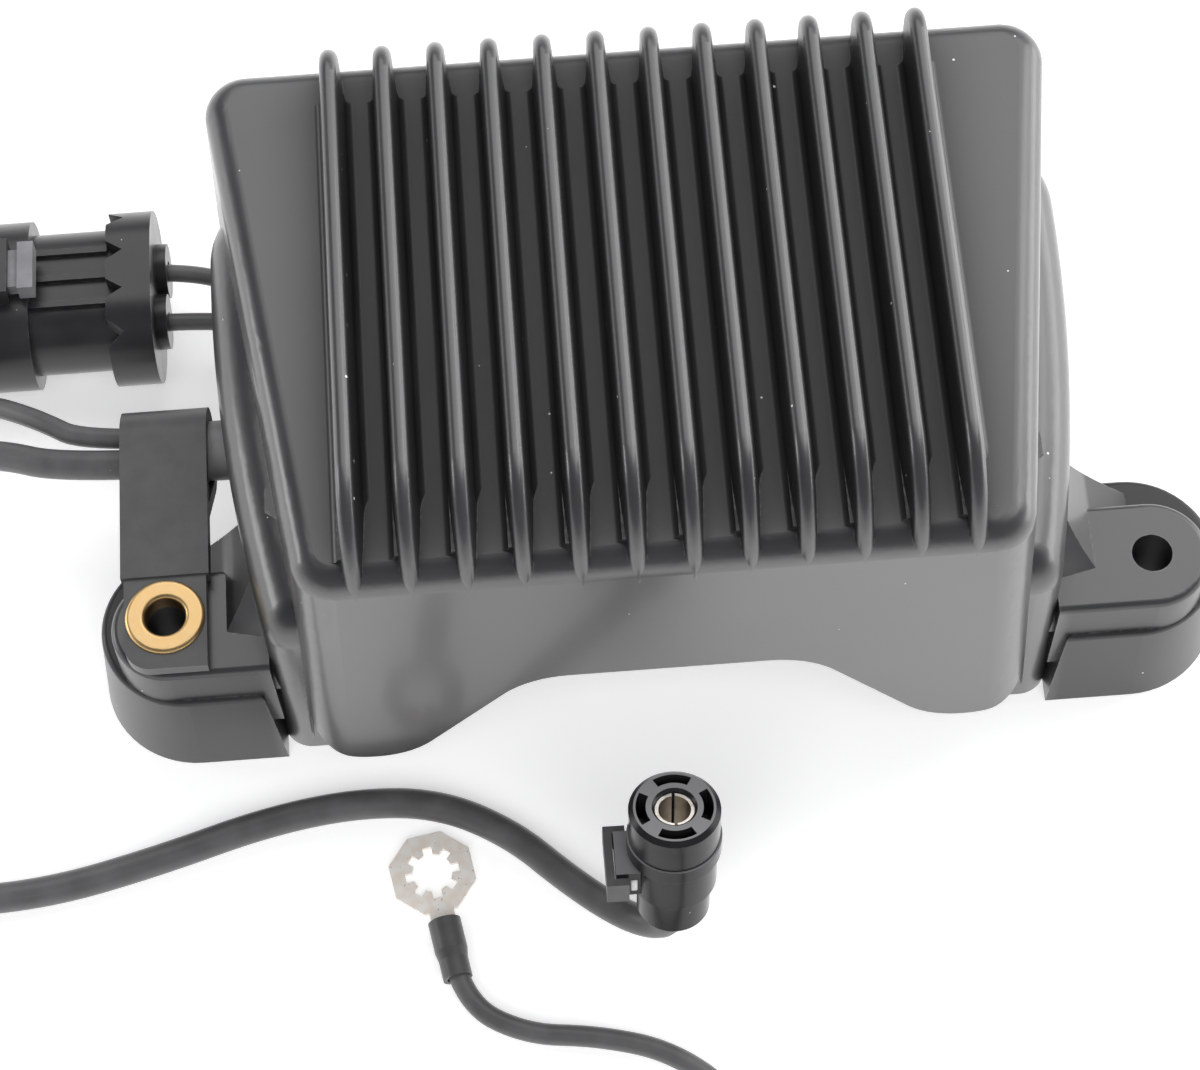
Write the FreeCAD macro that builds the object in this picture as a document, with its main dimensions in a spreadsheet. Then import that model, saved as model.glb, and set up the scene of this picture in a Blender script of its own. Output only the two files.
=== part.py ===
import FreeCAD, Part
import math
import os
import Sketcher

# Voltage regulator rectifier: a finned die casting filled with potting, with two ears,
# a strap on the left ear and four leads that end in plugs and a ring terminal.
# Millimetres. Z is up, Y points away from the fin noses, the feet stand on Z = 0, and the
# origin is below the middle of the casting.

os.makedirs("parts", exist_ok=True)
doc = FreeCAD.newDocument("RegulatorRectifier")

# Driving sizes
SIZES = [
    # casting: deck under the fins
    ("deck_near_width", 114.6),
    ("deck_far_width", 141.8),
    ("deck_near_y", -48.5),
    ("deck_far_y", 48.5),
    ("deck_height", 71.6),
    ("wall_draft", 3),
    ("deck_corner_radius", 7),
    ("deck_edge_radius", 4.2),
    ("deck_thickness", 4),
    ("wall_thickness", 4),
    ("foot_height", 11.5),
    # casting: fins
    ("fin_count", 12),
    ("fin_pitch", 8.8),
    ("fin_rise", 10.4),
    ("fin_crest_radius", 1.45),
    ("fin_draft", 5),
    ("fin_root_radius", 1.2),
    ("fin_nose_radius", 16),
    ("fin_nose_setback", -0.3),
    ("fin_sink", 1.2),
    ("fin_far_radius", 7.4),
    ("fin_far_setback", 0.9),
    # casting: drum below the deck
    ("drum_half_width", 73.8),
    ("drum_widest_y", 27),
    ("drum_side_radius", 300),
    ("drum_near_y", -44),
    ("drum_far_y", 46),
    ("drum_height", 46),
    ("drum_shoulder_radius", 7),
    ("drum_near_corner_radius", 5),
    ("drum_far_corner_radius", 15),
    ("drum_draft", 1),
    # casting: arch in the near wall, the pocket behind it and the hollow
    ("foot_half_width", 60.3),
    ("foot_corner_radius", 10),
    ("arch_foot_half_width", 44),
    ("arch_top_half_width", 23),
    ("arch_height", 36.4),
    ("arch_foot_radius", 12),
    ("arch_top_radius", 14),
    ("front_pocket_height", 60),
    ("dam_far_y", -37),
    ("dam_thickness", 3),
    ("hollow_step_height", 38),
    ("potting_level", 18),
    # casting: ears
    ("hole_offset", 8.75),
    ("hole_span", "=2 * (drum_half_width + hole_offset)"),
    ("hole_y", -33),
    ("hole_radius", 3.4),
    ("pad_height", 30),
    ("pad_radius", 9.6),
    ("pad_draft", 1),
    ("ledge_height", 21),
    ("ear_root_inset", 8),
    ("ear_offset_x", 2),
    ("ear_offset_y", 4),
    ("ear_radius", 16.6),
    ("ear_draft", 5.5),
    ("ear_edge_radius", 1.2),
    ("web_height", 46),
    ("web_near_y", -42),
    ("web_far_y", -17),
    ("web_crest_x", 64.2),
    ("web_waist_height", 36),
    ("web_waist", 0.26),
    ("web_pad_x", 75),
    # leads
    ("output_lead_radius", 2.6),
    ("ground_lead_radius", 1.8),
    ("stator_lead_radius", 1.6),
    ("lead_embed", 4.4),
    ("fit_gap", 0.2),
    # strap and the sleeve round the two leads
    ("bundle_y", 1.5),
    ("tube_radius", 5.2),
    ("tube_wall", 0.6),
    ("strap_width", 13.8),
    ("strap_thickness", 1.2),
    ("strap_front", 9.2),
    ("strap_corner_radius", 4.5),
    ("strap_sleeve_wall", 0.5),
    ("strap_sleeve_start_y", -25.5),
    ("eyelet_bore_radius", 3.4),
    ("eyelet_wall", 0.6),
    ("eyelet_flange_radius", 6.7),
    ("eyelet_flange_thickness", 0.7),
    # stator lead notch in the skirt
    ("notch_near_y", 30),
    ("notch_height", 15.5),
    # electronics in the potting
    ("insulator_thickness", 0.5),
    ("device_pitch", 19),
    ("device_width", 15.6),
    ("device_length", 20),
    ("device_thickness", 5),
    ("device_y", 4),
    ("leg_pitch", 5),
    ("leg_width", 1.2),
    ("leg_reach", 3.5),
    ("board_drop", 9),
    ("board_margin", 10),
    ("board_length", "=4 * device_pitch + 2 * board_margin"),
    ("board_width", 58),
    ("board_thickness", 1.6),
    ("capacitor_radius", 6.3),
    ("capacitor_length", 22),
    ("insulator_margin", 2),
    ("chip_length", 10),
    ("chip_width", 6.4),
    ("chip_thickness", 1.6),
    ("resistor_length", 18),
    ("resistor_width", 3.2),
    ("resistor_thickness", 0.9),
    # oval connector on the stator leads: axis from its rear to its open face
    ("oval_rear_x", -84),
    ("oval_y", 42),
    ("oval_z", 11.3),
    ("oval_cap_width", 33),
    ("oval_cap_height", 22),
    ("oval_cap_length", 10),
    ("oval_boss_length", 4),
    ("oval_boss_radius", 5),
    ("oval_body_width", 27),
    ("oval_body_height", 16.6),
    ("oval_body_length", 20),
    ("oval_shroud_width", 32.2),
    ("oval_shroud_height", 20.8),
    ("oval_shroud_length", 19),
    ("oval_shroud_wall", 2),
    ("oval_rim_length", 2.4),
    ("oval_rim_step", 0.7),
    ("oval_seal_length", 5),
    ("oval_seal_wall", 1.7),
    ("oval_rib_width", 1.2),
    ("oval_rib_rise", 1),
    ("oval_tooth_width", 4),
    ("oval_tooth_depth", 3),
    ("oval_guide_height", 3),
    ("latch_width", 11),
    ("latch_height", 4.6),
    ("latch_start", 3),
    ("latch_length", 9),
    ("latch_window_width", 8),
    ("latch_window_bottom", 0.4),
    ("latch_window_top", 3.2),
    ("lock_start", 1),
    ("lock_length", 12.5),
    ("lock_grip_width", 9.6),
    ("lock_grip_length", 2.8),
    ("lock_grip_setback", 1.6),
    ("lock_grip_bottom", 0.5),
    ("lock_grip_top", 4.2),
    ("blade_spacing", 10.7),
    ("blade_width", 6.3),
    ("blade_thickness", 0.8),
    ("blade_reach", 13),
    ("blade_tip_radius", 1),
    # round connector on the output lead
    ("round_rear_x", -2),
    ("round_rear_y", -83),
    ("round_rear_z", 16),
    ("round_lean_back", 13),
    ("round_lean_side", 1.8),
    ("round_length", 27),
    ("round_rear_radius", 6),
    ("round_rear_length", 8),
    ("round_body_radius", 7),
    ("round_collar_radius", 7.7),
    ("round_collar_start", 16.5),
    ("round_collar_length", 3),
    ("round_face_radius", 7.4),
    ("round_seal_radius", 4.7),
    ("round_seal_length", 5),
    ("socket_radius", 3.15),
    ("socket_bore_radius", 2.6),
    ("socket_bore_depth", 12),
    ("socket_setback", 0.8),
    ("window_inner_radius", 4.6),
    ("window_outer_radius", 6.2),
    ("window_depth", 7),
    ("round_edge_chamfer", 0.8),
    ("socket_mouth_chamfer", 0.4),
    ("socket_slit_width", 0.5),
    ("socket_slit_length", 8),
    ("boss_rise", 2.6),
    ("boss_width", 8.4),
    ("boss_start", 1),
    ("boss_length", 6),
    ("clip_start", 1.6),
    ("clip_length", 4.6),
    ("clip_wall", 1.6),
    ("clip_wrap", 2),
    # ring terminal on the ground lead
    ("ring_x", -42),
    ("ring_y", -69.5),
    ("ring_heading", -80),
    ("ring_across_flats", 14),
    ("ring_thickness", 0.9),
    ("ring_root_radius", 4.6),
    ("ring_tooth_radius", 3.4),
    ("ring_tooth_count", 8),
    ("ring_barrel_start", 9.5),
    ("ring_barrel_length", 6),
    ("ring_barrel_radius", 2.1),
    ("ring_tooth_gap", 1.6),
    ("ring_sleeve_wall", 0.7),
    ("ring_sleeve_length", 10.4),
]

sheet = doc.addObject("Spreadsheet::Sheet", "Sizes")
for row, (alias, value) in enumerate(SIZES, 1):
    sheet.set("A%d" % row, alias)
    sheet.set("B%d" % row, str(value))
    sheet.setAlias("B%d" % row, alias)
doc.recompute()


def size(alias):
    """The value of one driving size."""
    return float(sheet.get(alias))


def bind(thing, **expressions):
    """Ties properties of an object to the sheet; a double underscore stands for a dot."""
    for name, expression in expressions.items():
        thing.setExpression(name.replace("__", "."), expression)
    return thing


def origin_plane(body, role):
    for feature in body.Origin.OriginFeatures:
        if feature.Role == role:
            return feature
    raise ValueError(role)


def new_body(label):
    body = doc.addObject("PartDesign::Body", label)
    body.Label = label
    return body


def new_sketch(body, name, role="XY_Plane", lift=None):
    """A sketch on one of the body's own origin planes, lifted along its normal."""
    sketch = body.newObject("Sketcher::SketchObject", name)
    sketch.AttachmentSupport = [(origin_plane(body, role), "")]
    sketch.MapMode = "FlatFace"
    if lift:
        bind(sketch, AttachmentOffset__Base__z=lift)
    return sketch


def pin_point(sketch, index, place, x, y):
    """Holds one point of the sketch at two expressions."""
    for kind, expression in (("DistanceX", x), ("DistanceY", y)):
        rule = sketch.addConstraint(Sketcher.Constraint(kind, -1, 1, index, place, 1.0))
        sketch.setExpression("Constraints[%d]" % rule, expression)


def outline(sketch, spots, closed=True):
    """An outline through spots (x, y), given as expressions.
    A spot with a third entry "arc" is the middle of an arc between its neighbours."""
    marks = []
    for number, spot in enumerate(spots):
        start = FreeCAD.Vector(10 + number, 20 - number, 0)
        mark = sketch.addGeometry(Part.Point(start), True)
        pin_point(sketch, mark, 1, spot[0], spot[1])
        marks.append(mark)
    doc.recompute()
    points = []
    for mark in marks:
        solved = sketch.Geometry[mark]
        points.append(FreeCAD.Vector(solved.X, solved.Y, 0))
    count = len(spots)
    for number in range(count if closed else count - 1):
        if len(spots[number]) == 3:
            continue
        after = (number + 1) % count
        if len(spots[after]) == 3:
            end = (number + 2) % count
            start_point, middle_point, end_point = points[number], points[after], points[end]
            turn = (middle_point - start_point).cross(end_point - middle_point).z
            if turn > 0:
                arc = Part.Arc(start_point, middle_point, end_point)
                first, last = 1, 2
            else:
                arc = Part.Arc(end_point, middle_point, start_point)
                first, last = 2, 1
            edge = sketch.addGeometry(arc, False)
            sketch.addConstraint(Sketcher.Constraint("PointOnObject", marks[after], 1, edge))
        else:
            end = after
            edge = sketch.addGeometry(Part.LineSegment(points[number], points[end]), False)
            first, last = 1, 2
        sketch.addConstraint(Sketcher.Constraint("Coincident", edge, first, marks[number], 1))
        sketch.addConstraint(Sketcher.Constraint("Coincident", edge, last, marks[end], 1))


def circle(sketch, x, y, radius):
    """A circle with its centre and radius given as expressions."""
    ring = sketch.addGeometry(Part.Circle(FreeCAD.Vector(1, 1, 0), FreeCAD.Vector(0, 0, 1), 2), False)
    pin_point(sketch, ring, 3, x, y)
    rule = sketch.addConstraint(Sketcher.Constraint("Radius", ring, 2.0))
    sketch.setExpression("Constraints[%d]" % rule, radius)


def pad(body, sketch, length, taper=None, backwards=False, middle=False):
    feature = body.newObject("PartDesign::Pad", sketch.Name + "Pad")
    feature.Profile = sketch
    feature.Reversed = backwards
    feature.Midplane = middle
    bind(feature, Length=length)
    if taper:
        bind(feature, TaperAngle=taper)
    doc.recompute()
    return feature


def pocket(body, sketch, length, backwards=False, middle=False):
    """A pocket that must take material away."""
    before = body.Shape.Volume
    feature = body.newObject("PartDesign::Pocket", sketch.Name + "Pocket")
    feature.Profile = sketch
    feature.Reversed = backwards
    feature.Midplane = middle
    bind(feature, Length=length)
    doc.recompute()
    if body.Shape.Volume > before - 0.01:
        raise RuntimeError(sketch.Name + " cuts nothing")
    return feature


def revolve(body, sketch):
    """A full turn of the sketch about its vertical axis."""
    feature = body.newObject("PartDesign::Revolution", sketch.Name + "Turn")
    feature.Profile = sketch
    feature.ReferenceAxis = (sketch, ["V_Axis"])
    feature.Angle = 360
    doc.recompute()
    return feature


def round_edges(body, radius, name, test):
    """Rounds the edges of the body that the test picks."""
    picked = []
    for number, edge in enumerate(body.Shape.Edges, 1):
        if test(edge):
            picked.append("Edge%d" % number)
    feature = body.newObject("PartDesign::Fillet", name)
    feature.Base = (body.Tip if body.Tip != feature else feature.BaseFeature, picked)
    bind(feature, Radius=radius)
    doc.recompute()
    return feature


def middle_of(edge):
    return edge.valueAt((edge.FirstParameter + edge.LastParameter) / 2)


def is_straight(edge):
    return edge.Curve.TypeId == "Part::GeomLine"


def is_upright(edge):
    """Whether an edge climbs more than it runs."""
    start, end = edge.Vertexes[0].Point, edge.Vertexes[-1].Point
    return abs(end.z - start.z) > 0.9 * (end - start).Length > 0


def fuse(label, pieces):
    whole = doc.addObject("Part::MultiFuse", label)
    whole.Label = label
    whole.Shapes = pieces
    whole.Refine = True
    doc.recompute()
    return whole


def cut(label, base, tool):
    rest = doc.addObject("Part::Cut", label)
    rest.Label = label
    rest.Base = base
    rest.Tool = tool
    rest.Refine = True
    doc.recompute()
    return rest


def build_deck():
    """The deck with its drafted walls, and the fins swept over it."""
    body = new_body("Deck")
    top = new_sketch(body, "DeckTop", lift="Sizes.deck_height")
    outline(top, [
        ("-Sizes.deck_near_width / 2", "Sizes.deck_near_y"),
        ("Sizes.deck_near_width / 2", "Sizes.deck_near_y"),
        ("Sizes.deck_far_width / 2", "Sizes.deck_far_y"),
        ("-Sizes.deck_far_width / 2", "Sizes.deck_far_y"),
    ])
    pad(body, top, "Sizes.deck_height - Sizes.foot_height", taper="Sizes.wall_draft", backwards=True)
    round_edges(body, "Sizes.deck_corner_radius", "DeckCorners", is_upright)
    top_height = size("deck_height")
    round_edges(body, "Sizes.deck_edge_radius", "DeckTopEdges",
                lambda edge: abs(middle_of(edge).z - top_height) < 0.01)

    # one fin: section where its far nose begins, swept along the crest and down the near nose
    foot = "Sizes.deck_height - Sizes.fin_sink"
    crest = "(Sizes.deck_height + Sizes.fin_rise)"
    first_x = "-Sizes.fin_pitch * (Sizes.fin_count - 1) / 2"
    root_z = "Sizes.deck_height + Sizes.fin_root_radius"
    slope = "tan(Sizes.fin_draft * 1 deg)"
    shoulder = "(%s - Sizes.fin_crest_radius)" % crest
    flank_rise = "(Sizes.fin_rise - Sizes.fin_crest_radius - Sizes.fin_root_radius)"
    flank_x = "(Sizes.fin_crest_radius + %s * %s)" % (flank_rise, slope)
    toe_x = "(%s + Sizes.fin_root_radius)" % flank_x
    bend_x = "(%s + 0.293 * Sizes.fin_root_radius)" % flank_x
    bend_z = "Sizes.deck_height + 0.293 * Sizes.fin_root_radius"
    far_y = "(Sizes.deck_far_y - Sizes.fin_far_setback - Sizes.fin_far_radius)"
    section = new_sketch(body, "FinSection", role="XZ_Plane", lift="-" + far_y)
    outline(section, [
        ("%s - %s" % (first_x, toe_x), foot),
        ("%s + %s" % (first_x, toe_x), foot),
        ("%s + %s" % (first_x, toe_x), "Sizes.deck_height"),
        ("%s + %s" % (first_x, bend_x), bend_z, "arc"),
        ("%s + %s" % (first_x, flank_x), root_z),
        ("%s + Sizes.fin_crest_radius" % first_x, shoulder),
        (first_x, crest, "arc"),
        ("%s - Sizes.fin_crest_radius" % first_x, shoulder),
        ("%s - %s" % (first_x, flank_x), root_z),
        ("%s - %s" % (first_x, bend_x), bend_z, "arc"),
        ("%s - %s" % (first_x, toe_x), "Sizes.deck_height"),
    ])
    nose_y = "(Sizes.deck_near_y + Sizes.fin_nose_setback + Sizes.fin_nose_radius)"
    nose_z = "(%s - Sizes.fin_nose_radius)" % crest
    path = new_sketch(body, "FinPath", role="YZ_Plane", lift=first_x)
    outline(path, [
        (far_y, crest),
        (nose_y, crest),
        ("%s - 0.7071 * Sizes.fin_nose_radius" % nose_y, "%s + 0.7071 * Sizes.fin_nose_radius" % nose_z, "arc"),
        ("%s - Sizes.fin_nose_radius" % nose_y, nose_z),
    ], closed=False)
    fin = body.newObject("PartDesign::AdditivePipe", "Fin")
    fin.Profile = section
    fin.Spine = (path, ["Edge1", "Edge2"])
    doc.recompute()

    # its root keeps its blend along the flat of the deck, also below the near nose
    root = new_sketch(body, "FinRoot", role="XZ_Plane", lift="-" + far_y)
    outline(root, [
        ("%s - %s" % (first_x, toe_x), foot),
        ("%s + %s" % (first_x, toe_x), foot),
        ("%s + %s" % (first_x, toe_x), "Sizes.deck_height"),
        ("%s + %s" % (first_x, bend_x), bend_z, "arc"),
        ("%s + %s" % (first_x, flank_x), root_z),
        ("%s - %s" % (first_x, flank_x), root_z),
        ("%s - %s" % (first_x, bend_x), bend_z, "arc"),
        ("%s - %s" % (first_x, toe_x), "Sizes.deck_height"),
    ])
    root_blend = pad(body, root, "%s - Sizes.deck_near_y - Sizes.deck_edge_radius" % far_y)

    # its far nose: a quarter turn of the section above the axis, and a foot of the same plan
    axis_z = "(%s - Sizes.fin_far_radius)" % crest
    rise = "(Sizes.fin_far_radius - Sizes.fin_crest_radius)"
    axis_x = "(Sizes.fin_crest_radius + %s * %s)" % (rise, slope)

    def nose_outline(sketch, base):
        outline(sketch, [
            ("%s - %s" % (first_x, axis_x), base),
            ("%s + %s" % (first_x, axis_x), base),
            ("%s + Sizes.fin_crest_radius" % first_x, "%s + %s" % (base, rise)),
            (first_x, "%s + Sizes.fin_far_radius" % base, "arc"),
            ("%s - Sizes.fin_crest_radius" % first_x, "%s + %s" % (base, rise)),
        ])

    quarter = new_sketch(body, "FinFarSection", role="XZ_Plane", lift="-" + far_y)
    bind(quarter, AttachmentOffset__Base__y=axis_z)
    nose_outline(quarter, "0")
    nose = body.newObject("PartDesign::Revolution", "FinFarNose")
    nose.Profile = quarter
    nose.ReferenceAxis = (quarter, ["H_Axis"])
    nose.Angle = 90
    nose.Reversed = True
    doc.recompute()
    plan = new_sketch(body, "FinFarPlan", lift=axis_z)
    nose_outline(plan, far_y)
    nose_foot = pad(body, plan, "Sizes.fin_rise - Sizes.fin_far_radius + Sizes.deck_edge_radius", backwards=True)
    fins = body.newObject("PartDesign::LinearPattern", "Fins")
    fins.Originals = [fin, root_blend, nose, nose_foot]
    fins.Direction = (origin_plane(body, "X_Axis"), [""])
    bind(fins, Length="Sizes.fin_pitch * (Sizes.fin_count - 1)", Occurrences="Sizes.fin_count")
    body.Tip = fins
    doc.recompute()
    return body


def build_drum():
    """The lower body, whose long sides bulge past the deck."""
    body = new_body("Drum")
    plan = new_sketch(body, "DrumPlan")
    near_drop = "((Sizes.drum_widest_y - Sizes.drum_near_y) ^ 2 / (2 * Sizes.drum_side_radius))"
    far_drop = "((Sizes.drum_far_y - Sizes.drum_widest_y) ^ 2 / (2 * Sizes.drum_side_radius))"
    outline(plan, [
        ("-Sizes.drum_half_width + " + near_drop, "Sizes.drum_near_y"),
        ("Sizes.drum_half_width - " + near_drop, "Sizes.drum_near_y"),
        ("Sizes.drum_half_width", "Sizes.drum_widest_y", "arc"),
        ("Sizes.drum_half_width - " + far_drop, "Sizes.drum_far_y"),
        ("-Sizes.drum_half_width + " + far_drop, "Sizes.drum_far_y"),
        ("-Sizes.drum_half_width", "Sizes.drum_widest_y", "arc"),
    ])
    pad(body, plan, "Sizes.drum_height", taper="-Sizes.drum_draft")
    near_y, far_y = size("drum_near_y"), size("drum_far_y")
    between = (near_y + far_y) / 2
    round_edges(body, "Sizes.drum_near_corner_radius", "DrumNearCorners",
                lambda edge: is_upright(edge) and middle_of(edge).y < between)
    round_edges(body, "Sizes.drum_far_corner_radius", "DrumFarCorners",
                lambda edge: is_upright(edge) and middle_of(edge).y > between + 10)
    height = size("drum_height")
    round_edges(body, "Sizes.drum_shoulder_radius", "DrumShoulder",
                lambda edge: abs(middle_of(edge).z - height) < 0.01)
    return body


def d_outline(sketch, inner_x, centre_x, centre_y, radius, side):
    """A D shape: two straight sides from inner_x to a half circle about the centre."""
    turn = "" if side > 0 else "-"
    outline(sketch, [
        (turn + inner_x, "%s - %s" % (centre_y, radius)),
        (turn + centre_x, "%s - %s" % (centre_y, radius)),
        ("%s(%s + %s)" % (turn, centre_x, radius), centre_y, "arc"),
        (turn + centre_x, "%s + %s" % (centre_y, radius)),
        (turn + inner_x, "%s + %s" % (centre_y, radius)),
    ])


def build_ear(name, side):
    """One ear: lower shell up to the ledge, bolt pad on it, and the web up to the drum."""
    body = new_body(name)
    hole_x = "(Sizes.hole_span / 2)"
    root_x = "(Sizes.drum_half_width - Sizes.ear_root_inset)"
    shell = new_sketch(body, name + "Shell")
    d_outline(shell, root_x, "(%s - Sizes.ear_offset_x)" % hole_x, "(Sizes.hole_y + Sizes.ear_offset_y)",
              "Sizes.ear_radius", side)
    pad(body, shell, "Sizes.ledge_height", taper="-Sizes.ear_draft")
    ledge = size("ledge_height")
    round_edges(body, "Sizes.ear_edge_radius", name + "LedgeEdge",
                lambda edge: abs(middle_of(edge).z - ledge) < 0.01)
    top = new_sketch(body, name + "Pad", lift="Sizes.pad_height")
    d_outline(top, root_x, hole_x, "Sizes.hole_y", "Sizes.pad_radius", side)
    pad(body, top, "Sizes.pad_height - Sizes.ledge_height / 2", taper="Sizes.pad_draft", backwards=True)
    height = size("pad_height")
    round_edges(body, "Sizes.ear_edge_radius", name + "PadEdge",
                lambda edge: abs(middle_of(edge).z - height) < 0.01 and not near_root(edge))
    return body


def near_root(edge):
    """Whether an edge lies at the ear's root in the drum, where nothing is rounded."""
    return abs(middle_of(edge).x) < size("drum_half_width") - size("ear_root_inset") + 0.1


def build_web(name, side):
    """The sloping web between pad and drum, broad behind the bolt and a point in front of it."""
    body = new_body(name)
    turn = "" if side > 0 else "-"
    rise = "((Sizes.web_height - Sizes.ledge_height) / (Sizes.web_height - Sizes.pad_height))"
    low_x = "(Sizes.web_crest_x + (Sizes.web_pad_x - Sizes.web_crest_x) * %s)" % rise
    inner_x = "(Sizes.web_crest_x - Sizes.wall_thickness)"
    low = new_sketch(body, name + "Low", lift="Sizes.ledge_height")
    outline(low, [
        (turn + inner_x, "Sizes.web_near_y"),
        (turn + low_x, "Sizes.web_near_y"),
        (turn + low_x, "Sizes.web_far_y"),
        (turn + inner_x, "Sizes.web_far_y"),
    ])
    # the waist lies inside the straight line from low to high, which makes the web hollow
    waist = new_sketch(body, name + "Waist", lift="Sizes.web_waist_height")
    waist_x = "(Sizes.web_crest_x + (%s - Sizes.web_crest_x) * Sizes.web_waist)" % low_x
    waist_y = "(Sizes.web_far_y + (Sizes.web_near_y - Sizes.web_far_y) * 2 * Sizes.web_waist)"
    outline(waist, [
        (turn + inner_x, waist_y + " - Sizes.wall_thickness"),
        (turn + waist_x, waist_y),
        (turn + waist_x, "Sizes.web_far_y"),
        (turn + inner_x, "Sizes.web_far_y"),
    ])
    high = new_sketch(body, name + "High", lift="Sizes.web_height")
    outline(high, [
        (turn + inner_x, "Sizes.web_far_y - 2 * Sizes.wall_thickness"),
        (turn + "Sizes.web_crest_x", "Sizes.web_far_y - Sizes.wall_thickness"),
        (turn + "Sizes.web_crest_x", "Sizes.web_far_y"),
        (turn + inner_x, "Sizes.web_far_y"),
    ])
    loft = body.newObject("PartDesign::AdditiveLoft", name + "Loft")
    loft.Profile = low
    loft.Sections = [waist, high]
    loft.Ruled = False
    doc.recompute()
    return body


def build_arch_cutter():
    """What is open under the near wall: the arch between its feet and their rounded outer corners."""
    body = new_body("ArchCutter")
    face = new_sketch(body, "ArchFace", role="XZ_Plane", lift="-Sizes.drum_near_y")
    side, turn = "Sizes.foot_half_width", "Sizes.foot_corner_radius"
    half_contour = [
        (side, "0"),
        (side, "Sizes.foot_height + " + turn),
        ("%s - 0.2929 * %s" % (side, turn), "Sizes.foot_height + 0.2929 * " + turn, "arc"),
        ("%s - %s" % (side, turn), "Sizes.foot_height"),
        ("Sizes.arch_foot_half_width", "Sizes.foot_height"),
        ("Sizes.arch_top_half_width", "Sizes.arch_height"),
    ]
    other_half = [("-(%s)" % spot[0],) + spot[1:] for spot in reversed(half_contour)]
    outline(face, half_contour + other_half)
    pad(body, face, "3 * Sizes.wall_thickness")
    foot, top, inner = size("foot_height"), size("arch_height"), size("arch_foot_half_width")
    round_edges(body, "Sizes.arch_foot_radius", "ArchFootCorners",
                lambda edge: along_y(edge) and abs(middle_of(edge).z - foot) < 0.01
                and abs(abs(middle_of(edge).x) - inner) < 0.01)
    round_edges(body, "Sizes.arch_top_radius", "ArchTopCorners",
                lambda edge: along_y(edge) and abs(middle_of(edge).z - top) < 0.01)
    return body


def along_y(edge):
    start, end = edge.Vertexes[0].Point, edge.Vertexes[-1].Point
    return is_straight(edge) and abs(end.y - start.y) > 0.99 * (end - start).Length


def build_front_pocket():
    """The hollow between the near wall, which keeps its thickness, and the dam before the potting."""
    body = new_body("FrontPocket")
    side = new_sketch(body, "FrontPocketSide", role="YZ_Plane")
    dam = "(Sizes.dam_far_y - Sizes.dam_thickness)"

    def wall_y(height):
        lean = "tan(Sizes.wall_draft * 1 deg)"
        return "(Sizes.deck_near_y - (Sizes.deck_height - %s) * %s + Sizes.wall_thickness)" % (height, lean)

    outline(side, [
        (wall_y("0"), "0"),
        (dam, "0"),
        (dam, "Sizes.front_pocket_height"),
        (wall_y("Sizes.front_pocket_height"), "Sizes.front_pocket_height"),
    ])
    pad(body, side, "Sizes.deck_near_width - 2 * Sizes.wall_thickness", middle=True)
    return body


# Heights and places that several pieces share
CEILING = "(Sizes.deck_height - Sizes.deck_thickness)"
STRAP_TOP = "(Sizes.pad_height + Sizes.eyelet_flange_thickness + 2 * Sizes.strap_thickness)"
STRAP_BEND = "(Sizes.tube_radius + Sizes.fit_gap + Sizes.strap_sleeve_wall + Sizes.strap_thickness)"
BUNDLE_Z = "(%s - %s)" % (STRAP_TOP, STRAP_BEND)


def box(label, x, y, z, length, width, height):
    """A block with its corner and sides given as expressions."""
    block = doc.addObject("Part::Box", label)
    block.Label = label
    return bind(block, Placement__Base__x=x, Placement__Base__y=y, Placement__Base__z=z,
                Length=length, Width=width, Height=height)


def upright_cylinder(label, x, y, z, radius, height):
    """A cylinder along Z with the centre of its lower face given as expressions."""
    post = doc.addObject("Part::Cylinder", label)
    post.Label = label
    return bind(post, Placement__Base__x=x, Placement__Base__y=y, Placement__Base__z=z,
                Radius=radius, Height=height)


def drum_inside(y):
    """Half the width inside the drum wall at a place along Y."""
    return ("(Sizes.drum_half_width - Sizes.drum_side_radius"
            " + sqrt((Sizes.drum_side_radius - Sizes.wall_thickness) ^ 2 - (Sizes.drum_widest_y - (%s)) ^ 2))" % y)


def deck_inside(y):
    """Half the width inside the deck wall at a place along Y."""
    return ("(Sizes.deck_near_width / 2 - Sizes.wall_thickness"
            " + (Sizes.deck_far_width - Sizes.deck_near_width) / 2"
            " * ((%s) - Sizes.deck_near_y) / (Sizes.deck_far_y - Sizes.deck_near_y))" % y)


def build_hollow(name, near_y, far_y, bottom, height, inside, bulged):
    """A block of the hollow: cut out of the casting, and filled by the potting."""
    body = new_body(name)
    plan = new_sketch(body, name + "Plan", lift=bottom)
    spots = [("-" + inside(near_y), near_y), (inside(near_y), near_y)]
    if bulged:
        spots.append((inside("Sizes.drum_widest_y"), "Sizes.drum_widest_y", "arc"))
    spots += [(inside(far_y), far_y), ("-" + inside(far_y), far_y)]
    if bulged:
        spots.append(("-" + inside("Sizes.drum_widest_y"), "Sizes.drum_widest_y", "arc"))
    outline(plan, spots)
    pad(body, plan, height)
    round_edges(body, "Sizes.drum_near_corner_radius", name + "Corners", is_upright)
    return body


def build_hollows():
    dam = "Sizes.dam_far_y"
    wall = "(Sizes.dam_far_y - Sizes.dam_thickness)"
    far = "(Sizes.drum_far_y - Sizes.wall_thickness)"
    step = "Sizes.hollow_step_height - Sizes.potting_level"
    skirt = build_hollow("SkirtHollow", wall, far, "0", "Sizes.potting_level", drum_inside, True)
    lower = build_hollow("LowerHollow", dam, far, "Sizes.potting_level", step, drum_inside, True)
    upper = build_hollow("UpperHollow", dam, far, "Sizes.hollow_step_height",
                         CEILING + " - Sizes.hollow_step_height", deck_inside, False)
    return skirt, lower, upper


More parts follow.
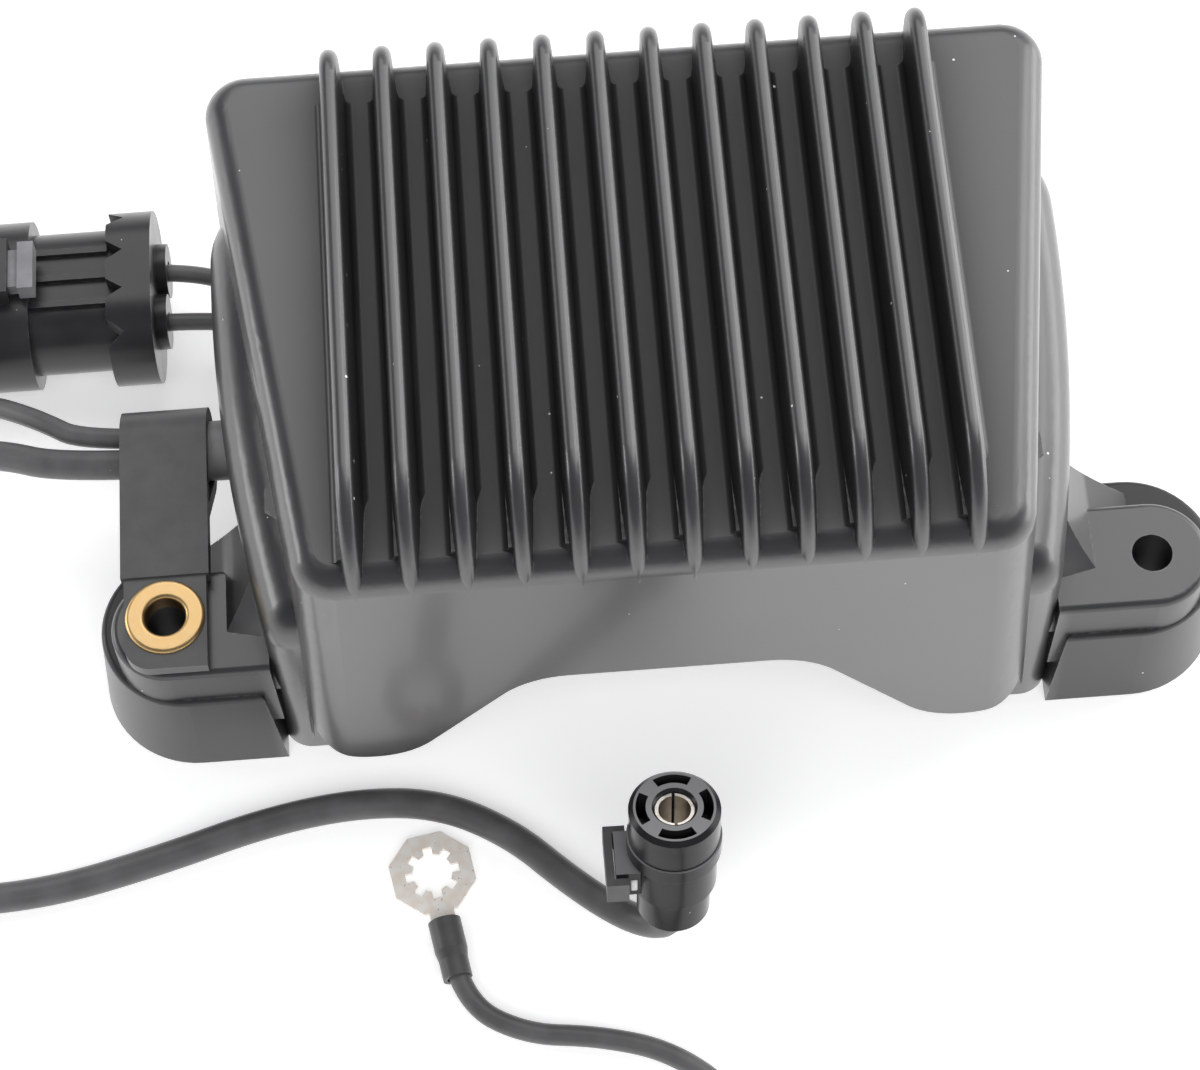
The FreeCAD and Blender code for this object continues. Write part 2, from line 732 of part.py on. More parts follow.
def build_housing(skirt_hollow, lower_hollow, upper_hollow):
    pieces = [build_deck(), build_drum()]
    for name, side in (("Right", 1), ("Left", -1)):
        pieces.append(build_ear(name + "Ear", side))
        pieces.append(build_web(name + "Web", side))
    blank = fuse("CastingBlank", pieces)
    bolt_x = "Sizes.hole_span / 2"
    bolt_holes = [
        upright_cylinder(name, turn + bolt_x, "Sizes.hole_y", "-1", "Sizes.hole_radius", "Sizes.pad_height + 2")
        for name, turn in (("RightBoltHole", ""), ("LeftBoltHole", "-"))
    ]
    lead_hole = doc.addObject("Part::Cylinder", "LeadHole")
    lead_hole.Placement.Rotation = FreeCAD.Rotation(FreeCAD.Vector(0, 1, 0), -90)
    bind(lead_hole, Radius="Sizes.tube_radius + Sizes.fit_gap", Height="3 * Sizes.wall_thickness",
         Placement__Base__x="-" + drum_inside("Sizes.bundle_y") + " + Sizes.wall_thickness",
         Placement__Base__y="Sizes.bundle_y", Placement__Base__z=BUNDLE_Z)
    notch = box("StatorNotch", "-2 * Sizes.drum_half_width", "Sizes.notch_near_y", "0",
                "2 * Sizes.drum_half_width - " + deck_inside("Sizes.notch_near_y"),
                "Sizes.drum_half_width", "Sizes.notch_height")
    tools = [skirt_hollow, lower_hollow, upper_hollow, build_arch_cutter(), build_front_pocket(), lead_hole, notch]
    tools += bolt_holes
    casting = blank
    for number, tool in enumerate(tools[:-1]):
        casting = cut("CastingCut%d" % (number + 1), casting, tool)
    return cut("housing", casting, tools[-1])


def build_electronics():
    """What the potting holds, hung from the ceiling of the casting."""
    sheet_bottom = "(%s - Sizes.insulator_thickness)" % CEILING
    device_bottom = "(%s - Sizes.device_thickness)" % sheet_bottom
    board_top = "(%s - Sizes.board_drop)" % device_bottom
    board_bottom = "(%s - Sizes.board_thickness)" % board_top
    pieces = [
        box("insulating_sheet", "-2 * Sizes.device_pitch - Sizes.insulator_margin",
            "Sizes.device_y - Sizes.insulator_margin", sheet_bottom,
            "4 * Sizes.device_pitch + 2 * Sizes.insulator_margin",
            "Sizes.device_length + 2 * Sizes.insulator_margin", "Sizes.insulator_thickness"),
        box("circuit_board", "-Sizes.board_length / 2", "Sizes.device_y - Sizes.board_width / 2", board_bottom,
            "Sizes.board_length", "Sizes.board_width", "Sizes.board_thickness"),
    ]
    for number, label in enumerate(["thyristor_a", "thyristor_b", "rectifier_diode_a", "rectifier_diode_b"]):
        middle = "(Sizes.device_pitch * (%d - 1.5))" % number
        parts = [box(label + "_case", middle + " - Sizes.device_width / 2", "Sizes.device_y", device_bottom,
                     "Sizes.device_width", "Sizes.device_length", "Sizes.device_thickness")]
        for leg in (-1, 0, 1):
            leg_x = "%s + %d * Sizes.leg_pitch - Sizes.leg_width / 2" % (middle, leg)
            tag = "%s_leg%d" % (label, leg + 2)
            parts.append(box(tag + "_out", leg_x, "Sizes.device_y - Sizes.leg_reach",
                             device_bottom + " + Sizes.device_thickness / 2", "Sizes.leg_width",
                             "Sizes.leg_reach + 1", "Sizes.leg_width"))
            parts.append(box(tag + "_down", leg_x, "Sizes.device_y - Sizes.leg_reach", board_top,
                             "Sizes.leg_width", "Sizes.leg_width",
                             "Sizes.board_drop + Sizes.device_thickness / 2 + Sizes.leg_width"))
        pieces.append(fuse(label, parts))
    pieces.append(upright_cylinder("capacitor", "Sizes.board_length / 4", "Sizes.device_y - Sizes.board_width / 4",
                                   board_bottom + " - Sizes.capacitor_length", "Sizes.capacitor_radius",
                                   "Sizes.capacitor_length"))
    for label, name, place_y in (("control_chip", "chip", "Sizes.device_y"),
                                 ("resistor_array", "resistor", "Sizes.device_y - Sizes.board_width / 4")):
        length, width, thickness = ("Sizes.%s_%s" % (name, side) for side in ("length", "width", "thickness"))
        pieces.append(box(label, "-Sizes.board_length / 4", place_y, board_bottom + " - " + thickness,
                          length, width, thickness))
    return pieces


def lead_path(route):
    """Straight runs joined by arcs: each radius is 0.45 of the shorter run over tan(half the turn)."""
    points = [FreeCAD.Vector(*spot) for spot in route]
    edges = []
    radii = []
    start = points[0]
    for before, corner, after in zip(points, points[1:], points[2:]):
        back, ahead = before - corner, after - corner
        reach = 0.45 * min(back.Length, ahead.Length)
        turn = math.pi - back.getAngle(ahead)
        radii.append(reach / math.tan(turn / 2))
        back.normalize()
        ahead.normalize()
        entry, leave = corner + back * reach, corner + ahead * reach
        centre_line = back + ahead
        centre_line.normalize()
        middle = corner + centre_line * (radii[-1] / math.cos(turn / 2) - radii[-1])
        edges.append(Part.LineSegment(start, entry).toShape())
        edges.append(Part.Arc(entry, middle, leave).toShape())
        start = leave
    edges.append(Part.LineSegment(start, points[-1]).toShape())
    return Part.Wire(edges), radii


def build_lead(label, route, radius):
    path, radii = lead_path(route)
    heading = FreeCAD.Vector(*route[1]) - FreeCAD.Vector(*route[0])
    ring = Part.Wire(Part.makeCircle(radius, FreeCAD.Vector(*route[0]), heading))
    tube = path.makePipeShell([ring], True, False)
    lead = doc.addObject("Part::Feature", label)
    lead.Label = label
    lead.Shape = tube
    share = tube.Volume / (math.pi * radius ** 2 * path.Length)
    print(label, "length %.1f" % path.Length, "volume share %.4f" % share,
          "radii in diameters", " ".join("%.1f" % (r / (2 * radius)) for r in radii))
    return lead


def build_tube():
    """The tube round both leads, from inside the wall to the far edge of the strap."""
    body = new_body("lead_tube")
    reach = "(Sizes.hole_span / 2 + Sizes.strap_width / 2 + Sizes.strap_sleeve_wall)"
    ring = new_sketch(body, "TubeRing", role="YZ_Plane", lift="-" + reach)
    circle(ring, "Sizes.bundle_y", BUNDLE_Z, "Sizes.tube_radius")
    circle(ring, "Sizes.bundle_y", BUNDLE_Z, "Sizes.tube_radius - Sizes.tube_wall")
    pad(body, ring, reach + " - " + drum_inside("Sizes.drum_widest_y") + " - Sizes.fit_gap")
    return body


def strap_outline(sketch, start_y, grow):
    """Side view of the strap: flat tail, bend round the tube and the lower leg at 45 degrees."""
    bend = "(%s + %s)" % (STRAP_BEND, grow)
    tail_bottom = "(Sizes.pad_height + Sizes.eyelet_flange_thickness - %s)" % grow
    low_y = "(Sizes.bundle_y - 0.7071 * %s)" % bend
    low_z = "(%s - 0.7071 * %s)" % (BUNDLE_Z, bend)
    outline(sketch, [
        (start_y, tail_bottom),
        ("%s - (%s - %s)" % (low_y, tail_bottom, low_z), tail_bottom),
        (low_y, low_z),
        ("Sizes.bundle_y + 0.9239 * " + bend, "%s - 0.3827 * %s" % (BUNDLE_Z, bend), "arc"),
        ("Sizes.bundle_y", "%s + %s" % (BUNDLE_Z, bend)),
        (start_y, "%s + %s" % (BUNDLE_Z, bend)),
    ])


def strap_eye(sketch, shrink):
    """The opening of the strap's bend, seen from the side."""
    bend = "(%s - Sizes.strap_thickness - %s)" % (STRAP_BEND, shrink)
    outline(sketch, [
        ("Sizes.bundle_y - 2.4142 * " + bend, "%s + %s" % (BUNDLE_Z, bend)),
        ("Sizes.bundle_y - 0.7071 * " + bend, "%s - 0.7071 * %s" % (BUNDLE_Z, bend)),
        ("Sizes.bundle_y + 0.9239 * " + bend, "%s - 0.3827 * %s" % (BUNDLE_Z, bend), "arc"),
        ("Sizes.bundle_y", "%s + %s" % (BUNDLE_Z, bend)),
    ])


def build_strap():
    body = new_body("cable_strap")
    side = new_sketch(body, "StrapSide", role="YZ_Plane", lift="-Sizes.hole_span / 2")
    strap_outline(side, "Sizes.hole_y - Sizes.strap_front", "0")
    pad(body, side, "Sizes.strap_width", middle=True)
    eye = new_sketch(body, "StrapEye", role="YZ_Plane", lift="-Sizes.hole_span / 2")
    strap_eye(eye, "0")
    pocket(body, eye, "2 * Sizes.strap_width", middle=True)
    hole = new_sketch(body, "StrapHole", lift=STRAP_TOP)
    circle(hole, "-Sizes.hole_span / 2", "Sizes.hole_y", "Sizes.eyelet_bore_radius + Sizes.eyelet_wall + Sizes.fit_gap / 2")
    pocket(body, hole, "4 * Sizes.strap_thickness")
    front, middle_x = size("hole_y") - size("strap_front"), -size("hole_span") / 2
    round_edges(body, "Sizes.strap_corner_radius", "StrapOuterCorner",
                lambda edge: is_upright(edge) and middle_of(edge).y < front + 0.1
                and middle_of(edge).x < middle_x)
    return body


def build_strap_sleeve(strap):
    body = new_body("StrapSleeveBlock")
    wall = "Sizes.strap_sleeve_wall"
    side = new_sketch(body, "SleeveSide", role="YZ_Plane", lift="-Sizes.hole_span / 2")
    strap_outline(side, "Sizes.strap_sleeve_start_y", wall)
    pad(body, side, "Sizes.strap_width + 2 * Sizes.strap_sleeve_wall", middle=True)
    eye = new_sketch(body, "SleeveEye", role="YZ_Plane", lift="-Sizes.hole_span / 2")
    strap_eye(eye, wall)
    pocket(body, eye, "2 * Sizes.strap_width", middle=True)
    return cut("strap_sleeve", body, strap)


def build_eyelet():
    body = new_body("strap_eyelet")
    half = new_sketch(body, "EyeletHalf", role="XZ_Plane")
    flange = "Sizes.eyelet_flange_thickness"
    bore = "Sizes.eyelet_bore_radius"
    rim = "Sizes.eyelet_flange_radius"
    top = "(Sizes.eyelet_flange_thickness + 2 * Sizes.strap_thickness)"
    outline(half, [
        (bore, "0"),
        (rim, "0"),
        (rim, flange),
        (bore + " + Sizes.eyelet_wall", flange),
        (bore + " + Sizes.eyelet_wall", top),
        (rim, top),
        ("%s - 0.2929 * %s" % (rim, flange), "%s + 0.7071 * %s" % (top, flange), "arc"),
        ("%s - %s" % (rim, flange), "%s + %s" % (top, flange)),
        ("%s + %s" % (bore, flange), "%s + %s" % (top, flange)),
        ("%s + 0.2929 * %s" % (bore, flange), "%s + 0.7071 * %s" % (top, flange), "arc"),
        (bore, top),
    ])
    revolve(body, half)
    return bind(body, Placement__Base__x="-Sizes.hole_span / 2", Placement__Base__y="Sizes.hole_y",
                Placement__Base__z="Sizes.pad_height")


def stadium(sketch, width, height, middle_x="0"):
    """A shape with straight long sides and half-round ends."""
    reach = "((%s - %s) / 2)" % (width, height)
    outline(sketch, [
        ("%s - %s" % (middle_x, reach), "-(%s) / 2" % height),
        ("%s + %s" % (middle_x, reach), "-(%s) / 2" % height),
        ("%s + (%s) / 2" % (middle_x, width), "0", "arc"),
        ("%s + %s" % (middle_x, reach), "(%s) / 2" % height),
        ("%s - %s" % (middle_x, reach), "(%s) / 2" % height),
        ("%s - (%s) / 2" % (middle_x, width), "0", "arc"),
    ])


def rectangle(sketch, left, right, bottom, top):
    outline(sketch, [(left, bottom), (right, bottom), (right, top), (left, top)])


def point_plug(body, base, ahead, up):
    """Puts a plug's rear at the base, with its own Z along the heading and its own Y towards up."""
    body.Placement = FreeCAD.Placement(base, FreeCAD.Rotation(up.cross(ahead), up, ahead, "ZXY"))
    doc.recompute()
    return body


def round_plug_base():
    return FreeCAD.Vector(size("round_rear_x"), size("round_rear_y"), size("round_rear_z"))


def round_plug_axis():
    """The round connector stands on the bend of its lead and leans back a little."""
    axis = FreeCAD.Vector(math.tan(math.radians(size("round_lean_side"))),
                          math.tan(math.radians(size("round_lean_back"))), 1)
    return axis.normalize()


def ring_way():
    """Heading of the ring terminal's barrel in the floor plane."""
    turn = math.radians(size("ring_heading"))
    return FreeCAD.Vector(math.cos(turn), math.sin(turn), 0)


def ring_barrel_end():
    centre = FreeCAD.Vector(size("ring_x"), size("ring_y"), size("ring_sleeve_wall") + size("ring_barrel_radius"))
    return centre + ring_way() * (size("ring_barrel_start") + size("ring_barrel_length"))


def build_oval_connector():
    """Two-way plug on the stator leads, all pieces along one axis from the rear boss at 0."""
    seat = "Sizes.oval_boss_length"
    shroud_start = "(%s + Sizes.oval_body_length)" % seat
    face = "(%s + Sizes.oval_shroud_length)" % shroud_start
    seal_end = "(%s + Sizes.oval_seal_length)" % seat
    lead_places = ["-Sizes.blade_spacing / 2", "Sizes.blade_spacing / 2"]

    housing = new_body("oval_connector_housing")
    rear = new_sketch(housing, "OvalBody", lift=seat)
    stadium(rear, "Sizes.oval_body_width", "Sizes.oval_body_height")
    pad(housing, rear, "Sizes.oval_body_length + Sizes.oval_shroud_wall")
    shroud = new_sketch(housing, "OvalShroud", lift=shroud_start)
    stadium(shroud, "Sizes.oval_shroud_width", "Sizes.oval_shroud_height")
    pad(housing, shroud, "Sizes.oval_shroud_length")
    rim = new_sketch(housing, "OvalRim", lift="%s - Sizes.oval_rim_length" % face)
    stadium(rim, "Sizes.oval_shroud_width + 2 * Sizes.oval_rim_step",
            "Sizes.oval_shroud_height + 2 * Sizes.oval_rim_step")
    pad(housing, rim, "Sizes.oval_rim_length * 0.6")
    for number in (-1, 0, 1):
        rib = new_sketch(housing, "OvalRib%d" % (number + 2), lift="Sizes.oval_cap_length")
        middle = "%d * Sizes.oval_body_width / 5" % number
        rib_top = "Sizes.oval_body_height / 2 + Sizes.oval_rib_rise"
        rectangle(rib, middle + " - Sizes.oval_rib_width / 2", middle + " + Sizes.oval_rib_width / 2",
                  "-(%s)" % rib_top, rib_top)
        pad(housing, rib, shroud_start + " - Sizes.oval_cap_length")
    mouth = new_sketch(housing, "OvalMouth", lift=face)
    stadium(mouth, "Sizes.oval_shroud_width - 2 * Sizes.oval_shroud_wall",
            "Sizes.oval_shroud_height - 2 * Sizes.oval_shroud_wall")
    pocket(housing, mouth, "Sizes.oval_shroud_length - Sizes.oval_shroud_wall")
    seal_room = new_sketch(housing, "OvalSealRoom", lift=seat)
    stadium(seal_room, "Sizes.oval_body_width - 2 * Sizes.oval_seal_wall",
            "Sizes.oval_body_height - 2 * Sizes.oval_seal_wall")
    pocket(housing, seal_room, "Sizes.oval_seal_length", backwards=True)
    slots = new_sketch(housing, "OvalBladeSlots", lift=seal_end)
    for place in lead_places:
        rectangle(slots, place + " - Sizes.blade_width / 2", place + " + Sizes.blade_width / 2",
                  "-Sizes.blade_thickness / 2", "Sizes.blade_thickness / 2")
    pocket(housing, slots, "Sizes.oval_body_length", backwards=True)
    inner_ribs = new_sketch(housing, "OvalInnerRibs", lift=shroud_start + " + Sizes.oval_shroud_wall / 2")
    floor = "(Sizes.oval_shroud_wall - Sizes.oval_shroud_height / 2)"
    for place in ("-Sizes.blade_spacing / 3", "Sizes.blade_spacing / 3"):
        rectangle(inner_ribs, place + " - Sizes.oval_rib_width / 2", place + " + Sizes.oval_rib_width / 2",
                  floor + " - Sizes.oval_shroud_wall / 4", floor + " + Sizes.oval_guide_height")
    pad(housing, inner_ribs, "Sizes.oval_shroud_length * 0.7")
    latch = new_sketch(housing, "OvalLatch", lift=shroud_start + " + Sizes.latch_start")
    roof = "Sizes.oval_shroud_height / 2"
    rectangle(latch, "-Sizes.latch_width / 2", "Sizes.latch_width / 2",
              roof + " - Sizes.oval_shroud_wall / 4", roof + " + Sizes.latch_height")
    pad(housing, latch, "Sizes.latch_length")
    window = new_sketch(housing, "OvalLatchWindow", lift=shroud_start + " + Sizes.latch_start + Sizes.latch_length")
    rectangle(window, "-Sizes.latch_window_width / 2", "Sizes.latch_window_width / 2",
              roof + " + Sizes.latch_window_bottom", roof + " + Sizes.latch_window_top")
    pocket(housing, window, "Sizes.latch_length")

    lock = new_body("oval_connector_lock")
    tongue = new_sketch(lock, "OvalLockTongue", lift=shroud_start + " + Sizes.lock_start")
    tongue_side = "(Sizes.latch_window_width / 2 - Sizes.fit_gap)"
    rectangle(tongue, "-" + tongue_side, tongue_side,
              roof + " + Sizes.latch_window_bottom + Sizes.fit_gap / 2",
              roof + " + Sizes.latch_window_top - Sizes.fit_gap / 2")
    pad(lock, tongue, "Sizes.lock_length")
    grip = new_sketch(lock, "OvalLockGrip", lift=shroud_start + " - Sizes.lock_grip_setback")
    rectangle(grip, "-Sizes.lock_grip_width / 2", "Sizes.lock_grip_width / 2",
              roof + " + Sizes.lock_grip_bottom", roof + " + Sizes.lock_grip_top")
    pad(lock, grip, "Sizes.lock_grip_length")

    cap = new_body("oval_connector_cap")
    plate = new_sketch(cap, "OvalCapPlate", lift=seat + " / 2")
    stadium(plate, "Sizes.oval_cap_width", "Sizes.oval_cap_height")
    pad(cap, plate, "Sizes.oval_cap_length - Sizes.oval_boss_length / 2")
    bosses = new_sketch(cap, "OvalCapBosses")
    for place in lead_places:
        circle(bosses, place, "0", "Sizes.oval_boss_radius")
    pad(cap, bosses, seat)
    room = new_sketch(cap, "OvalCapRoom", lift=seat)
    stadium(room, "Sizes.oval_body_width + 2 * Sizes.fit_gap", "Sizes.oval_body_height + 2 * Sizes.fit_gap")
    pocket(cap, room, "Sizes.oval_cap_length", backwards=True)
    wires = new_sketch(cap, "OvalCapWires")
    for place in lead_places:
        circle(wires, place, "0", "Sizes.stator_lead_radius + Sizes.fit_gap")
    pocket(cap, wires, "Sizes.oval_cap_length", backwards=True)
    teeth = new_sketch(cap, "OvalCapTeeth", role="XZ_Plane", lift="0")
    tooth_top = "Sizes.oval_cap_length"
    for place in ("-0.36", "-0.12", "0.12", "0.36"):
        middle = "(%s * Sizes.oval_cap_width)" % place
        outline(teeth, [(middle + " - Sizes.oval_tooth_width / 2", tooth_top),
                        (middle, tooth_top + " - Sizes.oval_tooth_depth"),
                        (middle + " + Sizes.oval_tooth_width / 2", tooth_top)])
    pocket(cap, teeth, "2 * Sizes.oval_cap_height", middle=True)

    seal = new_body("oval_connector_seal")
    plug = new_sketch(seal, "OvalSealPlug", lift=seat)
    stadium(plug, "Sizes.oval_body_width - 2 * Sizes.oval_seal_wall - Sizes.fit_gap / 2",
            "Sizes.oval_body_height - 2 * Sizes.oval_seal_wall - Sizes.fit_gap / 2")
    pad(seal, plug, "Sizes.oval_seal_length")
    bores = new_sketch(seal, "OvalSealBores", lift=seat)
    for place in lead_places:
        circle(bores, place, "0", "Sizes.stator_lead_radius")
    pocket(seal, bores, "Sizes.oval_seal_length", backwards=True)

    pieces = [housing, lock, cap, seal]
    for name, place in zip("ab", lead_places):
        blade = new_body("blade_terminal_" + name)
        strip = new_sketch(blade, "Blade" + name.upper(), lift=seal_end)
        rectangle(strip, place + " - Sizes.blade_width / 2", place + " + Sizes.blade_width / 2",
                  "-Sizes.blade_thickness / 2", "Sizes.blade_thickness / 2")
        pad(blade, strip, "Sizes.oval_body_length - Sizes.oval_seal_length + Sizes.blade_reach")
        tip = size("oval_boss_length") + size("oval_body_length") + size("blade_reach")
        round_edges(blade, "Sizes.blade_tip_radius", "BladeTip" + name.upper(),
                    lambda edge: is_straight(edge) and abs(middle_of(edge).z - tip) < 0.01
                    and edge.Length < size("blade_width") / 2)
        pieces.append(blade)
    for piece in pieces:
        point_plug(piece, FreeCAD.Vector(size("oval_rear_x"), size("oval_y"), size("oval_z")),
                   FreeCAD.Vector(-1, 0, 0), FreeCAD.Vector(0, 0, 1))
    return pieces


def build_round_connector():
    """One-way plug on the output lead, along one axis from its rear at 0 to its face."""
    housing = new_body("round_connector_housing")
    half = new_sketch(housing, "RoundHalf", role="XZ_Plane")
    bore = "Sizes.socket_radius + Sizes.fit_gap / 2"
    outline(half, [
        ("Sizes.round_seal_radius", "0"),
        ("Sizes.round_rear_radius", "0"),
        ("Sizes.round_rear_radius", "Sizes.round_rear_length"),
        ("Sizes.round_body_radius", "Sizes.round_rear_length"),
        ("Sizes.round_body_radius", "Sizes.round_collar_start"),
        ("Sizes.round_collar_radius", "Sizes.round_collar_start"),
        ("Sizes.round_collar_radius", "Sizes.round_collar_start + Sizes.round_collar_length"),
        ("Sizes.round_face_radius", "Sizes.round_collar_start + Sizes.round_collar_length"),
        ("Sizes.round_face_radius", "Sizes.round_length - Sizes.round_edge_chamfer"),
        ("Sizes.round_face_radius - Sizes.round_edge_chamfer", "Sizes.round_length"),
        (bore + " + Sizes.socket_mouth_chamfer", "Sizes.round_length"),
        (bore, "Sizes.round_length - Sizes.socket_mouth_chamfer"),
        (bore, "Sizes.round_seal_length"),
        ("Sizes.round_seal_radius", "Sizes.round_seal_length"),
    ])
    revolve(housing, half)
    window = new_sketch(housing, "RoundWindow", lift="Sizes.round_length")
    inner, outer = "Sizes.window_inner_radius", "Sizes.window_outer_radius"
    outline(window, [
        (inner + " * cos(30 deg)", "-%s * sin(30 deg)" % inner),
        (outer + " * cos(30 deg)", "-%s * sin(30 deg)" % outer),
        (outer, "0", "arc"),
        (outer + " * cos(30 deg)", outer + " * sin(30 deg)"),
        (inner + " * cos(30 deg)", inner + " * sin(30 deg)"),
        (inner, "0", "arc"),
    ])
    slot = pocket(housing, window, "Sizes.window_depth")
    windows = housing.newObject("PartDesign::PolarPattern", "RoundWindows")
    windows.Originals = [slot]
    windows.Axis = (window, ["N_Axis"])
    windows.Angle = 360
    windows.Occurrences = 4
    housing.Tip = windows
    doc.recompute()
    boss = new_sketch(housing, "RoundLatchBoss", lift="Sizes.round_rear_length + Sizes.boss_start")
    outer_x = "-(Sizes.round_body_radius + Sizes.boss_rise)"
    boss_side = "(Sizes.boss_width / 2)"
    rectangle(boss, outer_x, outer_x + " + 1.5 * Sizes.boss_rise", "-" + boss_side, boss_side)
    pad(housing, boss, "Sizes.boss_length")

    lock = new_body("round_connector_lock")
    clip = new_sketch(lock, "RoundLockClip", lift="Sizes.round_rear_length + Sizes.clip_start")
    inner_side = "(Sizes.boss_width / 2 + Sizes.fit_gap)"
    outer_side = "(%s + Sizes.clip_wall - Sizes.fit_gap)" % inner_side
    outline(clip, [
        (outer_x + " - Sizes.clip_wall", "-" + outer_side),
        (outer_x + " + Sizes.clip_wrap", "-" + outer_side),
        (outer_x + " + Sizes.clip_wrap", "-" + inner_side),
        (outer_x + " - Sizes.fit_gap", "-" + inner_side),
        (outer_x + " - Sizes.fit_gap", inner_side),
        (outer_x + " + Sizes.clip_wrap", inner_side),
        (outer_x + " + Sizes.clip_wrap", outer_side),
        (outer_x + " - Sizes.clip_wall", outer_side),
    ])
    pad(lock, clip, "Sizes.clip_length")

    seal = new_body("round_connector_seal")
    plug = new_sketch(seal, "RoundSealRing")
    circle(plug, "0", "0", "Sizes.round_seal_radius - Sizes.fit_gap / 4")
    circle(plug, "0", "0", "Sizes.output_lead_radius")
    pad(seal, plug, "Sizes.round_seal_length - Sizes.fit_gap / 2")

    socket = new_body("round_connector_socket")
    barrel = new_sketch(socket, "SocketBarrel", lift="Sizes.round_seal_length")
    circle(barrel, "0", "0", "Sizes.socket_radius")
    pad(socket, barrel, "Sizes.round_length - Sizes.round_seal_length - Sizes.socket_setback")
    well = new_sketch(socket, "SocketBore", lift="Sizes.round_length - Sizes.socket_setback")
    circle(well, "0", "0", "Sizes.socket_bore_radius")
    pocket(socket, well, "Sizes.socket_bore_depth")
    slit = new_sketch(socket, "SocketSlit", lift="Sizes.round_length - Sizes.socket_setback")
    rectangle(slit, "-Sizes.socket_slit_width / 2", "Sizes.socket_slit_width / 2",
              "-Sizes.socket_slit_length / 2", "Sizes.socket_slit_length / 2")
    pocket(socket, slit, "Sizes.socket_bore_depth * 0.8")

    pieces = [housing, lock, seal, socket]
    for piece in pieces:
        point_plug(piece, round_plug_base(), round_plug_axis(), FreeCAD.Vector(0, 1, 0))
    return pieces


def build_ring_terminal():
    """Eight-sided ring with teeth inside, its barrel and the sleeve over the barrel.
    The terminal lies flat; its barrel runs along its own Y."""
    ring = new_body("ring_terminal")
    plate = new_sketch(ring, "RingPlate")
    half = "Sizes.ring_across_flats / 2"
    corner = "(Sizes.ring_across_flats / 2 * tan(22.5 deg))"
    outline(plate, [
        (corner, half), ("-" + corner, half), ("-" + half, corner), ("-" + half, "-" + corner),
        ("-" + corner, "-" + half), (corner, "-" + half), (half, "-" + corner), (half, corner),
    ])
    pad(ring, plate, "Sizes.ring_thickness")
    hole = new_sketch(ring, "RingHole", lift="Sizes.ring_thickness")
    circle(hole, "0", "0", "Sizes.ring_tooth_radius")
    pocket(ring, hole, "2 * Sizes.ring_thickness")
    gap = new_sketch(ring, "RingToothGap", lift="Sizes.ring_thickness")
    rectangle(gap, "0", "Sizes.ring_root_radius", "-Sizes.ring_tooth_gap / 2", "Sizes.ring_tooth_gap / 2")
    slot = pocket(ring, gap, "2 * Sizes.ring_thickness")
    gaps = ring.newObject("PartDesign::PolarPattern", "RingToothGaps")
    gaps.Originals = [slot]
    gaps.Axis = (gap, ["N_Axis"])
    gaps.Angle = 360
    bind(gaps, Occurrences="Sizes.ring_tooth_count")
    ring.Tip = gaps
    doc.recompute()
    neck = new_sketch(ring, "RingNeck")
    rectangle(neck, "-Sizes.ring_barrel_radius", "Sizes.ring_barrel_radius", half + " - 0.5", "Sizes.ring_barrel_start")
    pad(ring, neck, "Sizes.ring_thickness")
    barrel = new_sketch(ring, "RingBarrel", role="XZ_Plane", lift="-Sizes.ring_barrel_start")
    circle(barrel, "0", "Sizes.ring_barrel_radius", "Sizes.ring_barrel_radius")
    pad(ring, barrel, "Sizes.ring_barrel_length", backwards=True)

    sleeve = new_body("ring_terminal_sleeve")
    half_section = new_sketch(sleeve, "RingSleeveHalf", role="XZ_Plane")
    wall = "Sizes.ring_sleeve_wall"
    outline(half_section, [
        ("Sizes.ring_barrel_radius", "0"),
        ("Sizes.ring_barrel_radius + " + wall, "0"),
        ("Sizes.ring_barrel_radius + " + wall, "Sizes.ring_barrel_length - 0.6"),
        ("Sizes.ground_lead_radius + " + wall, "Sizes.ring_barrel_length + 1"),
        ("Sizes.ground_lead_radius + " + wall, "Sizes.ring_sleeve_length"),
        ("Sizes.ground_lead_radius", "Sizes.ring_sleeve_length"),
        ("Sizes.ground_lead_radius", "Sizes.ring_barrel_length"),
        ("Sizes.ring_barrel_radius", "Sizes.ring_barrel_length"),
    ])
    revolve(sleeve, half_section)

    ahead = ring_way()
    up = FreeCAD.Vector(0, 0, 1)
    centre = FreeCAD.Vector(size("ring_x"), size("ring_y"), size("ring_sleeve_wall"))
    ring.Placement = FreeCAD.Placement(centre, FreeCAD.Rotation(ahead.cross(up), ahead, up, "ZXY"))
    axis_point = centre + ahead * size("ring_barrel_start") + up * size("ring_barrel_radius")
    sleeve.Placement = FreeCAD.Placement(axis_point, FreeCAD.Rotation(up.cross(ahead), up, ahead, "ZXY"))
    doc.recompute()
    return [ring, sleeve]


